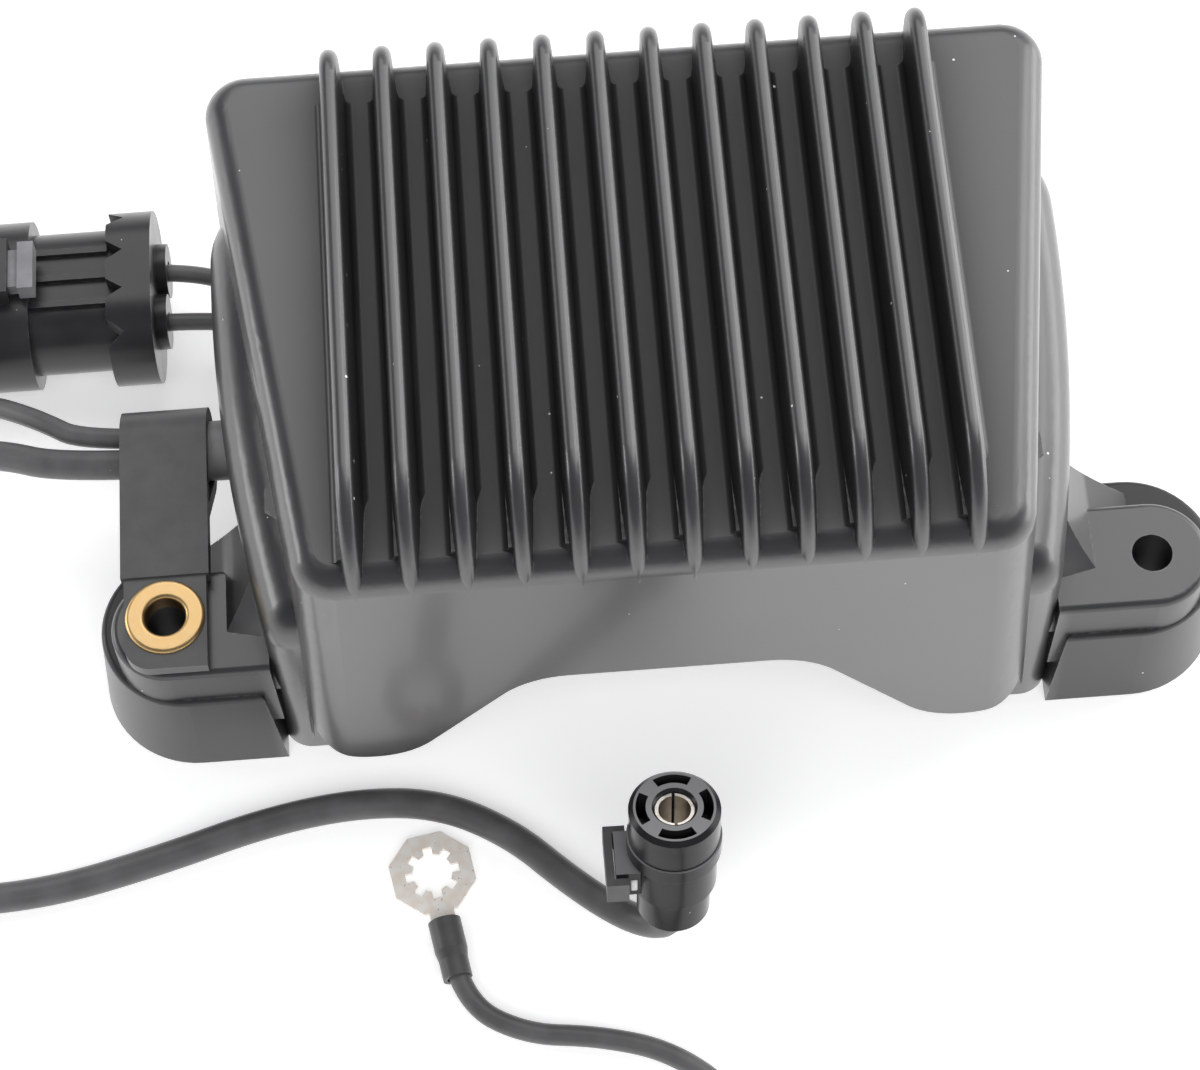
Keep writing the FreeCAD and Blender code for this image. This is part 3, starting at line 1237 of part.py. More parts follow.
def build_leads():
    """The four leads: the two long ones pass the tube together and then lie on the surface."""
    barrel = ring_barrel_end()
    along = ring_way()
    plug = round_plug_base()
    rise = round_plug_axis()
    bundle = (size("bundle_y"), size("pad_height") + size("eyelet_flange_thickness") + size("strap_thickness")
              - size("strap_sleeve_wall") - size("fit_gap") - size("tube_radius"))
    output_y = bundle[0] - size("tube_radius") + size("tube_wall") + size("output_lead_radius")
    ground_y = bundle[0] + size("tube_radius") - size("tube_wall") - size("ground_lead_radius")
    inner_x = size("lead_embed") - size("drum_half_width") + size("wall_thickness")
    out = -size("hole_span") / 2 - size("strap_width") / 2
    low = size("output_lead_radius")
    output = build_lead("output_lead", [
        (inner_x, output_y, bundle[1]), (out - 9.5, output_y, bundle[1]), (out - 25.55, 7, 22),
        (out - 41.55, 9.5, 13.5), (out - 56.55, 4.5, 6), (out - 68.55, -6, low), (out - 75.55, -20.5, low),
        (out - 76.55, -37, low), (out - 69.55, -53, low), (out - 55.05, -64, low), (out - 36.55, -69, low),
        (out - 17.55, -68.5, low), (-88, -64, low), (-70, -58.5, low), (-54, -56.2, low), (-40, -57.5, low),
        (-28, -64, low), (-19, -73, low), (-10.5, -80, low + 0.3), (-4.6, -83.5, low + 3.4),
        tuple(plug - rise * 4.8), tuple(plug + rise * (size("round_seal_length") - size("fit_gap"))),
    ], size("output_lead_radius"))
    low = size("ground_lead_radius")
    ground = build_lead("ground_lead", [
        (inner_x, ground_y, bundle[1]), (out - 6.5, ground_y, bundle[1]), (out - 16.55, 11.5, 24.3),
        (out - 27.55, 18.5, 19), (out - 41.55, 21, 10.5), (out - 56.55, 20, 3.5), (out - 69.05, 15, low),
        (out - 78.55, 6.5, low), (out - 85.55, -4, low), (out - 89.55, -20, low), (out - 90.55, -38, low),
        (out - 88.55, -57, low), (out - 82.55, -76, low), (out - 73.55, -95, low), (out - 60.55, -112, low),
        (out - 43.55, -125, low), (out - 23.55, -134, low), (-91, -139, low), (-69, -141.5, low),
        (-48, -142.5, low), (-30, -143, low), (-14, -141.5, low), (0, -135.5, low), (8, -125, low),
        (6, -112.5, low), (-4, -104, low), (-16, -100.5, low), (-28, -99.3, low),
        tuple(barrel + along * 8.8), tuple(barrel),
    ], size("ground_lead_radius"))
    stators = []
    for name, turn, start_y, bend_y in (("a", -1, 36, 39.3), ("b", 1, 30, 34)):
        end_y = size("oval_y") - turn * size("blade_spacing") / 2
        end_z = size("oval_z")
        drop = size("potting_level") + 6 - end_z
        seal_end = size("oval_rear_x") - size("oval_boss_length") - size("oval_seal_length")
        stators.append(build_lead("stator_lead_" + name, [
            (-38, start_y, end_z + drop), (-38 - drop, start_y + 1.8, end_z), (-66, bend_y, end_z),
            (size("oval_rear_x") + 6, end_y, end_z), (seal_end + size("fit_gap"), end_y, end_z),
        ], size("stator_lead_radius")))
    return [output, ground] + stators


doc.recompute()
skirt_hollow, lower_hollow, upper_hollow = build_hollows()
housing = build_housing(skirt_hollow, lower_hollow, upper_hollow)
electronics = build_electronics()
leads = build_leads()
potting_block = fuse("PottingBlock", [lower_hollow, upper_hollow])
potting = cut("potting_compound", potting_block, fuse("PottingCuts", electronics + leads))
strap = build_strap()
nodes = [housing, potting] + electronics + [
    build_tube(), strap, build_strap_sleeve(strap), build_eyelet(),
] + leads + build_oval_connector() + build_round_connector() + build_ring_terminal()

doc.recompute()
for thing in doc.Objects:
    if "Invalid" in thing.State or "Error" in thing.State:
        raise RuntimeError("%s is %s" % (thing.Label, thing.State))
for node in nodes:
    if node.Shape.isNull() or not node.Shape.isValid():
        raise RuntimeError(node.Label + " has no valid shape")
for node in nodes:
    node.Shape.exportStep("parts/%s.step" % node.Label)
    print(node.Label, "solids", len(node.Shape.Solids), "volume %.1f" % node.Shape.Volume)
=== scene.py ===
import math

import bmesh
import bpy
from mathutils import Matrix, Vector


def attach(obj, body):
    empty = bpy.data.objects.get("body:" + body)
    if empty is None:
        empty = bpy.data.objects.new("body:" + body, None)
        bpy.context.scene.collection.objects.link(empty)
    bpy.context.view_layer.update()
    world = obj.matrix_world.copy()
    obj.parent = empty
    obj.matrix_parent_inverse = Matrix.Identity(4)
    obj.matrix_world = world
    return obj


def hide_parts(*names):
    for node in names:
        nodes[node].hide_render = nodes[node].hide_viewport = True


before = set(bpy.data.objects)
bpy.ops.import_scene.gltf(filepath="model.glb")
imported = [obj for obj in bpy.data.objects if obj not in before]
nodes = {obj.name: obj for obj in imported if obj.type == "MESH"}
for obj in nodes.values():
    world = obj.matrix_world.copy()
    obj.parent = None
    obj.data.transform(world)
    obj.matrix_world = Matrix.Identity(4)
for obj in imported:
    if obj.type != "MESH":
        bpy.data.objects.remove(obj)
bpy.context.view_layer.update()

scene = bpy.context.scene
scene.view_settings.view_transform = "Standard"


# ---------------------------------------------------------------------------
# Camera: held over the near edge, looking steeply down on the fins. Its place
# and its lens were fitted to the bolt holes and the corners of the casting.
# ---------------------------------------------------------------------------
camera_data = bpy.data.cameras.new("camera")
camera_data.sensor_width = 36.0
camera_data.lens = 98.82
camera = bpy.data.objects.new("camera", camera_data)
camera.location = (-0.015123, -0.268891, 0.527708)
camera.rotation_euler = [math.radians(angle) for angle in (26.348, 1.342, -4.029)]
scene.collection.objects.link(camera)
scene.camera = camera


# ---------------------------------------------------------------------------
# Studio: a broad softbox behind and above the part, which the flat top
# mirrors, low ones at both sides for the drum, a fill at the front that
# nothing mirrors, and a dim room.
# ---------------------------------------------------------------------------
part_middle = Vector((0.0, 0.0, 0.05))


def softbox(name, place, width, height, watts):
    """A rectangular lamp at a place, turned to the middle of the part."""
    lamp = bpy.data.lights.new(name, "AREA")
    lamp.shape = "RECTANGLE"
    lamp.size, lamp.size_y = width, height
    lamp.energy = watts
    holder = bpy.data.objects.new(name, lamp)
    holder.location = place
    holder.rotation_euler = (part_middle - Vector(place)).to_track_quat("-Z", "Y").to_euler()
    scene.collection.objects.link(holder)
    return holder


softbox("back_softbox", (0.25, 0.70, 1.15), width=1.7, height=1.0, watts=11.6)
softbox("left_softbox", (-1.12, 0.28, 0.38), width=0.36, height=0.33, watts=2.4)
softbox("right_softbox", (1.00, 0.62, 0.86), width=0.55, height=0.9, watts=5.0)
softbox("low_right_softbox", (1.10, 0.26, 0.22), width=1.00, height=0.40, watts=5.2)
front_fill = softbox("front_fill", (0.0, -0.75, 0.95), width=1.2, height=0.8, watts=9.0)
front_fill.visible_glossy = False

room_tint, room_light = (0.9, 0.95, 1.0, 1.0), 0.16
room = bpy.data.worlds.new("room")
room.use_nodes = True
backdrop = room.node_tree.nodes["Background"]
backdrop.inputs["Color"].default_value = room_tint
backdrop.inputs["Strength"].default_value = room_light
scene.world = room


# ---------------------------------------------------------------------------
# Table: a round white sheet of paper with its rim turned up, so that the sides
# of the part mirror white in every direction. It keeps the part's shadow, and
# further out it glows to plain white.
# ---------------------------------------------------------------------------
table_radius, table_sides, table_drop = 3.0, 96, 0.0003
flat_rings = (0.6, 1.4)
rim_radius, rim_height, rim_turns = 0.4, 0.9, 6
profile = [(reach, 0.0) for reach in (*flat_rings, table_radius - rim_radius)]
for turn in range(1, rim_turns + 1):
    lean = math.radians(90.0 * turn / rim_turns)
    profile.append((table_radius - rim_radius * (1.0 - math.sin(lean)),
                    rim_radius * (1.0 - math.cos(lean))))
profile.append((table_radius, rim_height))
table_build = bmesh.new()
rings = [[table_build.verts.new((reach * math.cos(math.tau * side / table_sides),
                                 reach * math.sin(math.tau * side / table_sides), height))
          for side in range(table_sides)] for reach, height in profile]
table_build.faces.new(rings[0])
for inner, outer in zip(rings, rings[1:]):
    for side in range(table_sides):
        after = (side + 1) % table_sides
        strip = table_build.faces.new((inner[side], outer[side], outer[after], inner[after]))
        strip.smooth = True
table_mesh = bpy.data.meshes.new("table")
table_build.to_mesh(table_mesh)
table_build.free()
table = bpy.data.objects.new("table", table_mesh)
table.location = (0.0, 0.0, -table_drop)
scene.collection.objects.link(table)


def put(tree, kind, *feeds, **settings):
    """A node with its settings, and with its first inputs linked or set from feeds."""
    made = tree.nodes.new(kind)
    for label, value in settings.items():
        setattr(made, label, value)
    for number, feed in enumerate(feeds):
        if isinstance(feed, bpy.types.NodeSocket):
            tree.links.new(feed, made.inputs[number])
        elif feed is not None:
            made.inputs[number].default_value = feed
    return made


paper_white, glow_white = (0.86, 0.86, 0.86, 1.0), (1.0, 1.0, 1.0, 1.0)
shadow_reach, white_reach = 0.45, 1.5
near_glow, far_glow = 0.47, 1.0
paper = bpy.data.materials.new("white_paper")
paper.use_nodes = True
paper_tree = paper.node_tree
paper_tree.nodes.clear()
rays = put(paper_tree, "ShaderNodeLightPath")
mirrored = put(paper_tree, "ShaderNodeMath", rays.outputs["Is Glossy Ray"],
               rays.outputs["Is Transmission Ray"], operation="MAXIMUM")
spot = put(paper_tree, "ShaderNodeTexCoord")
distance = put(paper_tree, "ShaderNodeVectorMath", spot.outputs["Object"], operation="LENGTH")
seen_glow = put(paper_tree, "ShaderNodeMapRange", distance.outputs["Value"],
                shadow_reach, white_reach, near_glow, far_glow)
glow_strength = put(paper_tree, "ShaderNodeMath", rays.outputs["Is Camera Ray"],
                    seen_glow.outputs[0], mirrored.outputs[0], operation="MULTIPLY_ADD")
paper_glow = put(paper_tree, "ShaderNodeEmission", glow_white, glow_strength.outputs[0])
paper_face = put(paper_tree, "ShaderNodeBsdfDiffuse", paper_white)
paper_sum = put(paper_tree, "ShaderNodeAddShader", paper_face.outputs[0], paper_glow.outputs[0])
put(paper_tree, "ShaderNodeOutputMaterial", paper_sum.outputs[0])
table_mesh.materials.append(paper)


# ---------------------------------------------------------------------------
# Finned casting: aluminium, pressure die cast in one piece with its ears, then
# coated semi-gloss black. Its coat and gloss are turned down as painted shade in the grooves
# and on the ears below their pad tops; it is worn a little on its edges and carries pale dust.
# ---------------------------------------------------------------------------
def new_group(name, starts, results):
    """An empty shader node group with named number inputs and outputs."""
    group = bpy.data.node_groups.new(name, "ShaderNodeTree")
    for label, start in starts.items():
        socket = group.interface.new_socket(name=label, in_out="INPUT",
                                            socket_type="NodeSocketFloat")
        socket.default_value = start
    for label in results:
        group.interface.new_socket(name=label, in_out="OUTPUT", socket_type="NodeSocketFloat")
    return group, group.nodes.new("NodeGroupInput"), group.nodes.new("NodeGroupOutput")


def specks_group():
    """Dust and nicks: a share of the cells holds one small round speck of uneven size."""
    group, given, result = new_group(
        "dust_specks", {"Spacing": 0.006, "Size": 0.05, "Share": 0.4}, ["Mask"])
    place = put(group, "ShaderNodeTexCoord")
    scale = put(group, "ShaderNodeMath", 1.0, given.outputs["Spacing"], operation="DIVIDE")
    cells = put(group, "ShaderNodeTexVoronoi", place.outputs["Object"], feature="F1")
    group.links.new(scale.outputs[0], cells.inputs["Scale"])
    lot = put(group, "ShaderNodeSeparateColor", cells.outputs["Color"])
    reach = put(group, "ShaderNodeMath", lot.outputs["Green"], given.outputs["Size"],
                operation="MULTIPLY")
    inside = put(group, "ShaderNodeMath", cells.outputs["Distance"], reach.outputs[0],
                 operation="LESS_THAN")
    drawn = put(group, "ShaderNodeMath", lot.outputs["Red"], given.outputs["Share"],
                operation="LESS_THAN")
    both = put(group, "ShaderNodeMath", inside.outputs[0], drawn.outputs[0], operation="MULTIPLY")
    group.links.new(both.outputs[0], result.inputs["Mask"])
    return group


def wear_group():
    """Edge wear, and on glossy nylon also a painted edge highlight: where the rounded normal
    leaves the true one, broken up by noise.
    """
    flat_dot, sharp_dot = 0.995, 0.86
    patch_from, patch_full = 0.45, 0.62
    group, given, result = new_group(
        "edge_wear", {"Width": 0.0006, "Break Up": 900.0, "Amount": 0.5}, ["Mask"])
    round_normal = put(group, "ShaderNodeBevel", given.outputs["Width"], samples=4)
    true_normal = put(group, "ShaderNodeNewGeometry")
    dot = put(group, "ShaderNodeVectorMath", round_normal.outputs["Normal"],
              true_normal.outputs["Normal"], operation="DOT_PRODUCT")
    edge = put(group, "ShaderNodeMapRange", dot.outputs["Value"], flat_dot, sharp_dot, 0.0, 1.0)
    place = put(group, "ShaderNodeTexCoord")
    patches = put(group, "ShaderNodeTexNoise", place.outputs["Object"])
    group.links.new(given.outputs["Break Up"], patches.inputs["Scale"])
    broken = put(group, "ShaderNodeMapRange", patches.outputs["Fac"], patch_from, patch_full,
                 0.0, 1.0)
    worn = put(group, "ShaderNodeMath", edge.outputs[0], broken.outputs[0], operation="MULTIPLY")
    scaled = put(group, "ShaderNodeMath", worn.outputs[0], given.outputs["Amount"],
                 operation="MULTIPLY")
    group.links.new(scaled.outputs[0], result.inputs["Mask"])
    return group


def grain_group():
    """Fine surface: soft waves with a fine grain on top as a height, and the waves as patches."""
    group, given, result = new_group(
        "surface_grain", {"Wave": 60.0, "Grain": 1500.0, "Grain Share": 0.5}, ["Height", "Patch"])
    place = put(group, "ShaderNodeTexCoord")
    layers = []
    for label, detail in (("Wave", 3.0), ("Grain", 6.0)):
        texture = put(group, "ShaderNodeTexNoise", place.outputs["Object"])
        texture.inputs["Detail"].default_value = detail
        group.links.new(given.outputs[label], texture.inputs["Scale"])
        layers.append(texture.outputs["Fac"])
    waves, fine_grain = layers
    share = put(group, "ShaderNodeMath", fine_grain, given.outputs["Grain Share"],
                operation="MULTIPLY")
    both = put(group, "ShaderNodeMath", waves, share.outputs[0], operation="ADD")
    group.links.new(both.outputs[0], result.inputs["Height"])
    group.links.new(waves, result.inputs["Patch"])
    return group


specks, wear, grain = specks_group(), wear_group(), grain_group()
patch_lift, patch_low, patch_high = 1.35, 0.35, 0.65
grain_low, grain_high = 0.35, 1.15
worn_shine, dusty_dullness = -0.08, 0.3


def finish_material(name, colour, roughness, wave, fine, bump, metallic=0.0, patch_colour=None,
                    rough_spread=0.1, wear_and_highlight_colour=None, wear_width=0.0004, wear_amount=0.5,
                    dust_colour=None, dust_spacing=0.006, dust_size=0.06, dust_share=0.3,
                    coat=0.0, coat_roughness=0.2, specular=0.5, grain_share=0.5):
    """A finish from the shared grain, edge wear (on glossy nylon also painted edge highlight) and
    dust, each with its own values.
    """
    material = bpy.data.materials.new(name)
    material.use_nodes = True
    tree = material.node_tree
    shader = tree.nodes["Principled BSDF"]
    shader.inputs["Metallic"].default_value = metallic
    shader.inputs["Coat Weight"].default_value = coat
    shader.inputs["Coat Roughness"].default_value = coat_roughness
    shader.inputs["Specular IOR Level"].default_value = specular
    surface = put(tree, "ShaderNodeGroup", node_tree=grain)
    surface.inputs["Wave"].default_value = wave
    surface.inputs["Grain"].default_value = fine
    surface.inputs["Grain Share"].default_value = grain_share
    spread = put(tree, "ShaderNodeMapRange", surface.outputs["Patch"], patch_low, patch_high,
                 0.0, 1.0)
    tint = put(tree, "ShaderNodeMix", spread.outputs[0], data_type="RGBA")
    tint.inputs["A"].default_value = (*colour, 1.0)
    tint.inputs["B"].default_value = (*(patch_colour or [c * patch_lift for c in colour]), 1.0)
    shade = tint.outputs["Result"]
    rough = put(tree, "ShaderNodeMapRange", surface.outputs["Height"], grain_low, grain_high,
                roughness - rough_spread / 2, roughness + rough_spread / 2)
    rough_value = rough.outputs[0]
    worn = {"Width": wear_width, "Amount": wear_amount}
    dusty = {"Spacing": dust_spacing, "Size": dust_size, "Share": dust_share}
    for kind, other, values, lift in ((wear, wear_and_highlight_colour, worn, worn_shine),
                                      (specks, dust_colour, dusty, dusty_dullness)):
        if other is None:
            continue
        mask = put(tree, "ShaderNodeGroup", node_tree=kind)
        for label, value in values.items():
            mask.inputs[label].default_value = value
        blend = put(tree, "ShaderNodeMix", mask.outputs["Mask"], data_type="RGBA")
        blend.inputs["B"].default_value = (*other, 1.0)
        tree.links.new(shade, blend.inputs["A"])
        shade = blend.outputs["Result"]
        change = put(tree, "ShaderNodeMath", mask.outputs["Mask"], lift, rough_value,
                     operation="MULTIPLY_ADD")
        rough_value = change.outputs[0]
    tree.links.new(shade, shader.inputs["Base Color"])
    tree.links.new(rough_value, shader.inputs["Roughness"])
    relief = tree.nodes.new("ShaderNodeBump")
    relief.inputs["Strength"].default_value = 1.0
    relief.inputs["Distance"].default_value = bump
    tree.links.new(surface.outputs["Height"], relief.inputs["Height"])
    tree.links.new(relief.outputs["Normal"], shader.inputs["Normal"])
    return material


def dress(name, material):
    """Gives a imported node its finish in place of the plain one."""
    mesh = nodes[name].data
    if not mesh.materials:
        mesh.materials.append(material)
    for number in range(len(mesh.materials)):
        mesh.materials[number] = material


black_coat = finish_material(
    "black_coat", (0.022, 0.022, 0.023), 0.43, wave=45.0, fine=1400.0, bump=0.000012,
    rough_spread=0.10, wear_and_highlight_colour=(0.26, 0.26, 0.26), wear_width=0.0005, wear_amount=0.40,
    dust_colour=(0.80, 0.80, 0.78), dust_spacing=0.0034, dust_size=0.075, dust_share=0.30,
    coat=0.30, coat_roughness=0.14, specular=0.8, grain_share=0.18)
deck_top, ear_top, drum_side = 0.0716, 0.0300, 0.0640
groove_reach, groove_air, open_air = 0.012, 0.40, 0.92
wall_start, wall_full = 0.002, 0.004
ear_painted_shade, ear_blend, pad_edge = 0.80, 0.004, 0.001
coat_in_painted_shade, coat_clear_of_shade, gloss_in_painted_shade, gloss_clear_of_shade = 0.0, 0.35, 0.27, 0.92
coat_tree = black_coat.node_tree
coat_shader = coat_tree.nodes["Principled BSDF"]
# Painted shade: an occlusion mask turns the coat and the gloss down in the grooves, so that they
# read darker.
groove_occlusion = put(coat_tree, "ShaderNodeAmbientOcclusion", samples=6)
groove_occlusion.inputs["Distance"].default_value = groove_reach
in_the_open = put(coat_tree, "ShaderNodeMapRange", groove_occlusion.outputs["AO"], groove_air, open_air,
                  0.0, 1.0)
place = put(coat_tree, "ShaderNodeTexCoord")
across = put(coat_tree, "ShaderNodeSeparateXYZ", place.outputs["Object"])
below_deck = put(coat_tree, "ShaderNodeMapRange", across.outputs["Z"],
                 deck_top - wall_start, deck_top - wall_full, 0.0, 1.0)
clear_of_groove_shade = put(coat_tree, "ShaderNodeMath", in_the_open.outputs[0], below_deck.outputs[0],
                  operation="MAXIMUM")
outward = put(coat_tree, "ShaderNodeMath", across.outputs["X"], operation="ABSOLUTE")
# Painted shade: below their pad tops the ears lose most of their coat and gloss, so that their
# sides read darker.
on_ear = put(coat_tree, "ShaderNodeMapRange", outward.outputs[0], drum_side,
             drum_side + ear_blend, 0.0, ear_painted_shade)
under_pad = put(coat_tree, "ShaderNodeMapRange", across.outputs["Z"], ear_top,
                ear_top - pad_edge, 0.0, 1.0)
ear_side_shade = put(coat_tree, "ShaderNodeMath", on_ear.outputs[0], under_pad.outputs[0],
             operation="MULTIPLY")
ear_unshaded = put(coat_tree, "ShaderNodeMath", 1.0, ear_side_shade.outputs[0], operation="SUBTRACT")
painted_shade_gloss = put(coat_tree, "ShaderNodeMath", clear_of_groove_shade.outputs[0], ear_unshaded.outputs[0],
                operation="MULTIPLY")
# The shader keeps its own plain values too, for a viewer that reads no links.
for socket, shaded_value, clear_value in (("Coat Weight", coat_in_painted_shade, coat_clear_of_shade),
                           ("Specular IOR Level", gloss_in_painted_shade, gloss_clear_of_shade)):
    gloss = put(coat_tree, "ShaderNodeMapRange", painted_shade_gloss.outputs[0], 0.0, 1.0, shaded_value, clear_value)
    coat_tree.links.new(gloss.outputs[0], coat_shader.inputs[socket])
dress("housing", black_coat)


# ---------------------------------------------------------------------------
# Underside: black two-part potting fills the casting round the electronics.
# It cures to a satin skin with a faint ripple.
# ---------------------------------------------------------------------------
potting_skin = finish_material(
    "potting_skin", (0.022, 0.022, 0.024), 0.38, wave=90.0, fine=700.0, bump=0.00015,
    rough_spread=0.18, dust_colour=(0.35, 0.35, 0.34), dust_spacing=0.008, dust_size=0.04,
    dust_share=0.3, grain_share=0.12)
dress("potting_compound", potting_skin)


# ---------------------------------------------------------------------------
# Electronics inside the potting: a grey insulating sheet under the ceiling,
# four moulded power devices, a green board, a can capacitor, a control chip
# and a resistor array. They are soldered together before the potting is cast.
# ---------------------------------------------------------------------------
sheet_silicone = finish_material(
    "sheet_silicone", (0.42, 0.46, 0.48), 0.62, wave=200.0, fine=2500.0, bump=0.00004)
board_laminate = finish_material(
    "board_laminate", (0.02, 0.10, 0.045), 0.42, wave=150.0, fine=3200.0, bump=0.00002,
    patch_colour=(0.03, 0.14, 0.06))
moulded_case = finish_material(
    "moulded_case", (0.028, 0.028, 0.029), 0.55, wave=300.0, fine=4200.0, bump=0.00003)
can_aluminium = finish_material(
    "can_aluminium", (0.62, 0.62, 0.63), 0.32, wave=120.0, fine=3000.0, bump=0.00002,
    metallic=1.0)
resistor_film = finish_material(
    "resistor_film", (0.09, 0.09, 0.10), 0.6, wave=260.0, fine=4000.0, bump=0.00003)
dress("insulating_sheet", sheet_silicone)
dress("circuit_board", board_laminate)
for device in ("thyristor_a", "thyristor_b", "rectifier_diode_a", "rectifier_diode_b",
               "control_chip"):
    dress(device, moulded_case)
dress("capacitor", can_aluminium)
dress("resistor_array", resistor_film)


# ---------------------------------------------------------------------------
# Strap: a steel band dipped in black coating, folded round the bundle and
# clinched on the left ear by a rolled brass eyelet that the bolt goes through.
# A shrunk sleeve covers its two layers, and a soft tube guards the leads in it.
# ---------------------------------------------------------------------------
dip_coat = finish_material(
    "dip_coat", (0.064, 0.064, 0.065), 0.44, wave=160.0, fine=2200.0, bump=0.00003,
    dust_colour=(0.5, 0.5, 0.5), dust_spacing=0.004, dust_size=0.04, dust_share=0.2)
dress("cable_strap", dip_coat)
rolled_brass = finish_material(
    "rolled_brass", (0.68, 0.45, 0.205), 0.42, wave=420.0, fine=5200.0, bump=0.00002,
    metallic=1.0, patch_colour=(0.75, 0.52, 0.255), rough_spread=0.14,
    wear_and_highlight_colour=(0.80, 0.58, 0.30), wear_width=0.00025, wear_amount=0.5,
    dust_colour=(0.30, 0.15, 0.05), dust_spacing=0.0012, dust_size=0.10, dust_share=0.12,
    grain_share=0.35)
dress("strap_eyelet", rolled_brass)
shrink_skin = finish_material(
    "shrink_skin", (0.060, 0.060, 0.061), 0.46, wave=220.0, fine=2600.0, bump=0.00005,
    rough_spread=0.12, dust_colour=(0.55, 0.55, 0.54), dust_spacing=0.0035, dust_size=0.045,
    dust_share=0.18, grain_share=0.3)
dress("strap_sleeve", shrink_skin)
# Painted light: the tube's grey is lifted well above the leads' rubber to make up for the shade
# under the deck.
tube_jacket = finish_material(
    "tube_jacket", (0.195, 0.195, 0.197), 0.50, wave=200.0, fine=2400.0, bump=0.00004,
    rough_spread=0.12, dust_colour=(0.5, 0.5, 0.5), dust_spacing=0.0035, dust_size=0.045,
    dust_share=0.15, grain_share=0.3)
dress("lead_tube", tube_jacket)


# ---------------------------------------------------------------------------
# Leads: stranded copper in a round extruded rubber jacket. The output and
# ground leads share the tube through the strap and then lie on the table, and
# the two stator leads come out under the skirt.
# ---------------------------------------------------------------------------
route_steps, section_steps = 12, 6
lead_rubber = finish_material(
    "lead_rubber", (0.083, 0.083, 0.084), 0.46, wave=180.0, fine=2000.0, bump=0.00006,
    rough_spread=0.14, dust_colour=(0.45, 0.45, 0.44), dust_spacing=0.003, dust_size=0.05,
    dust_share=0.2, grain_share=0.35)


def lay_lead(name, route, diameter):
    """A lead along its route, as one smooth curve with a round section."""
    data = bpy.data.curves.new(name + "_jacket", "CURVE")
    data.dimensions = "3D"
    spline = data.splines.new("NURBS")
    spline.points.add(len(route) - 1)
    for point, place in zip(spline.points, route):
        point.co = (*place, 1.0)
    spline.order_u = 3
    spline.use_endpoint_u = True
    spline.resolution_u = route_steps
    data.bevel_depth = diameter / 2
    data.bevel_resolution = section_steps
    data.use_fill_caps = True
    data.materials.append(lead_rubber)
    lead = bpy.data.objects.new(name + "_jacket", data)
    scene.collection.objects.link(lead)
    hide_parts(name)
    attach(lead, "root")


output_route = [
    (-0.0654, -0.0005, 0.0260), (-0.09895, -0.0005, 0.0260), (-0.1150, 0.0070, 0.0220),
    (-0.1310, 0.0095, 0.0135), (-0.1460, 0.0045, 0.0060), (-0.1580, -0.0060, 0.0026),
    (-0.1650, -0.0205, 0.0026), (-0.1660, -0.0370, 0.0026), (-0.1590, -0.0530, 0.0026),
    (-0.1445, -0.0640, 0.0026), (-0.1260, -0.0690, 0.0026), (-0.1070, -0.0685, 0.0026),
    (-0.0880, -0.0640, 0.0026), (-0.0700, -0.0585, 0.0026), (-0.0540, -0.0562, 0.0026),
    (-0.0400, -0.0575, 0.0026), (-0.0280, -0.0640, 0.0026), (-0.0190, -0.0730, 0.0026),
    (-0.0105, -0.0800, 0.0029), (-0.0046, -0.0835, 0.0060), (-0.002147, -0.084079, 0.011325),
    (-0.001853, -0.081921, 0.020675),
]
lay_lead("output_lead", output_route, 0.0052)

ground_route = [
    (-0.0654, 0.0043, 0.0260), (-0.09595, 0.0043, 0.0260), (-0.1060, 0.0115, 0.0243),
    (-0.1170, 0.0185, 0.0190), (-0.1310, 0.0210, 0.0105), (-0.1460, 0.0200, 0.0035),
    (-0.1585, 0.0150, 0.0018), (-0.1680, 0.0065, 0.0018), (-0.1750, -0.0040, 0.0018),
    (-0.1790, -0.0200, 0.0018), (-0.1800, -0.0380, 0.0018), (-0.1780, -0.0570, 0.0018),
    (-0.1720, -0.0760, 0.0018), (-0.1630, -0.0950, 0.0018), (-0.1500, -0.1120, 0.0018),
    (-0.1330, -0.1250, 0.0018), (-0.1130, -0.1340, 0.0018), (-0.0910, -0.1390, 0.0018),
    (-0.0690, -0.1415, 0.0018), (-0.0480, -0.1425, 0.0018), (-0.0300, -0.1430, 0.0018),
    (-0.0140, -0.1415, 0.0018), (0.0000, -0.1355, 0.0018), (0.0080, -0.1250, 0.0018),
    (0.0060, -0.1125, 0.0018), (-0.0040, -0.1040, 0.0018), (-0.0160, -0.1005, 0.0018),
    (-0.0280, -0.0993, 0.0018), (-0.037780, -0.093431, 0.0028), (-0.039308, -0.084765, 0.0028),
]
lay_lead("ground_lead", ground_route, 0.0036)

stator_route_a = [
    (-0.0380, 0.0360, 0.0240), (-0.0507, 0.0378, 0.0113), (-0.0660, 0.0393, 0.0113),
    (-0.0780, 0.04735, 0.0113), (-0.0928, 0.04735, 0.0113),
]
lay_lead("stator_lead_a", stator_route_a, 0.0032)
stator_route_b = [
    (-0.0380, 0.0300, 0.0240), (-0.0507, 0.0318, 0.0113), (-0.0660, 0.0340, 0.0113),
    (-0.0780, 0.03665, 0.0113), (-0.0928, 0.03665, 0.0113),
]
lay_lead("stator_lead_b", stator_route_b, 0.0032)


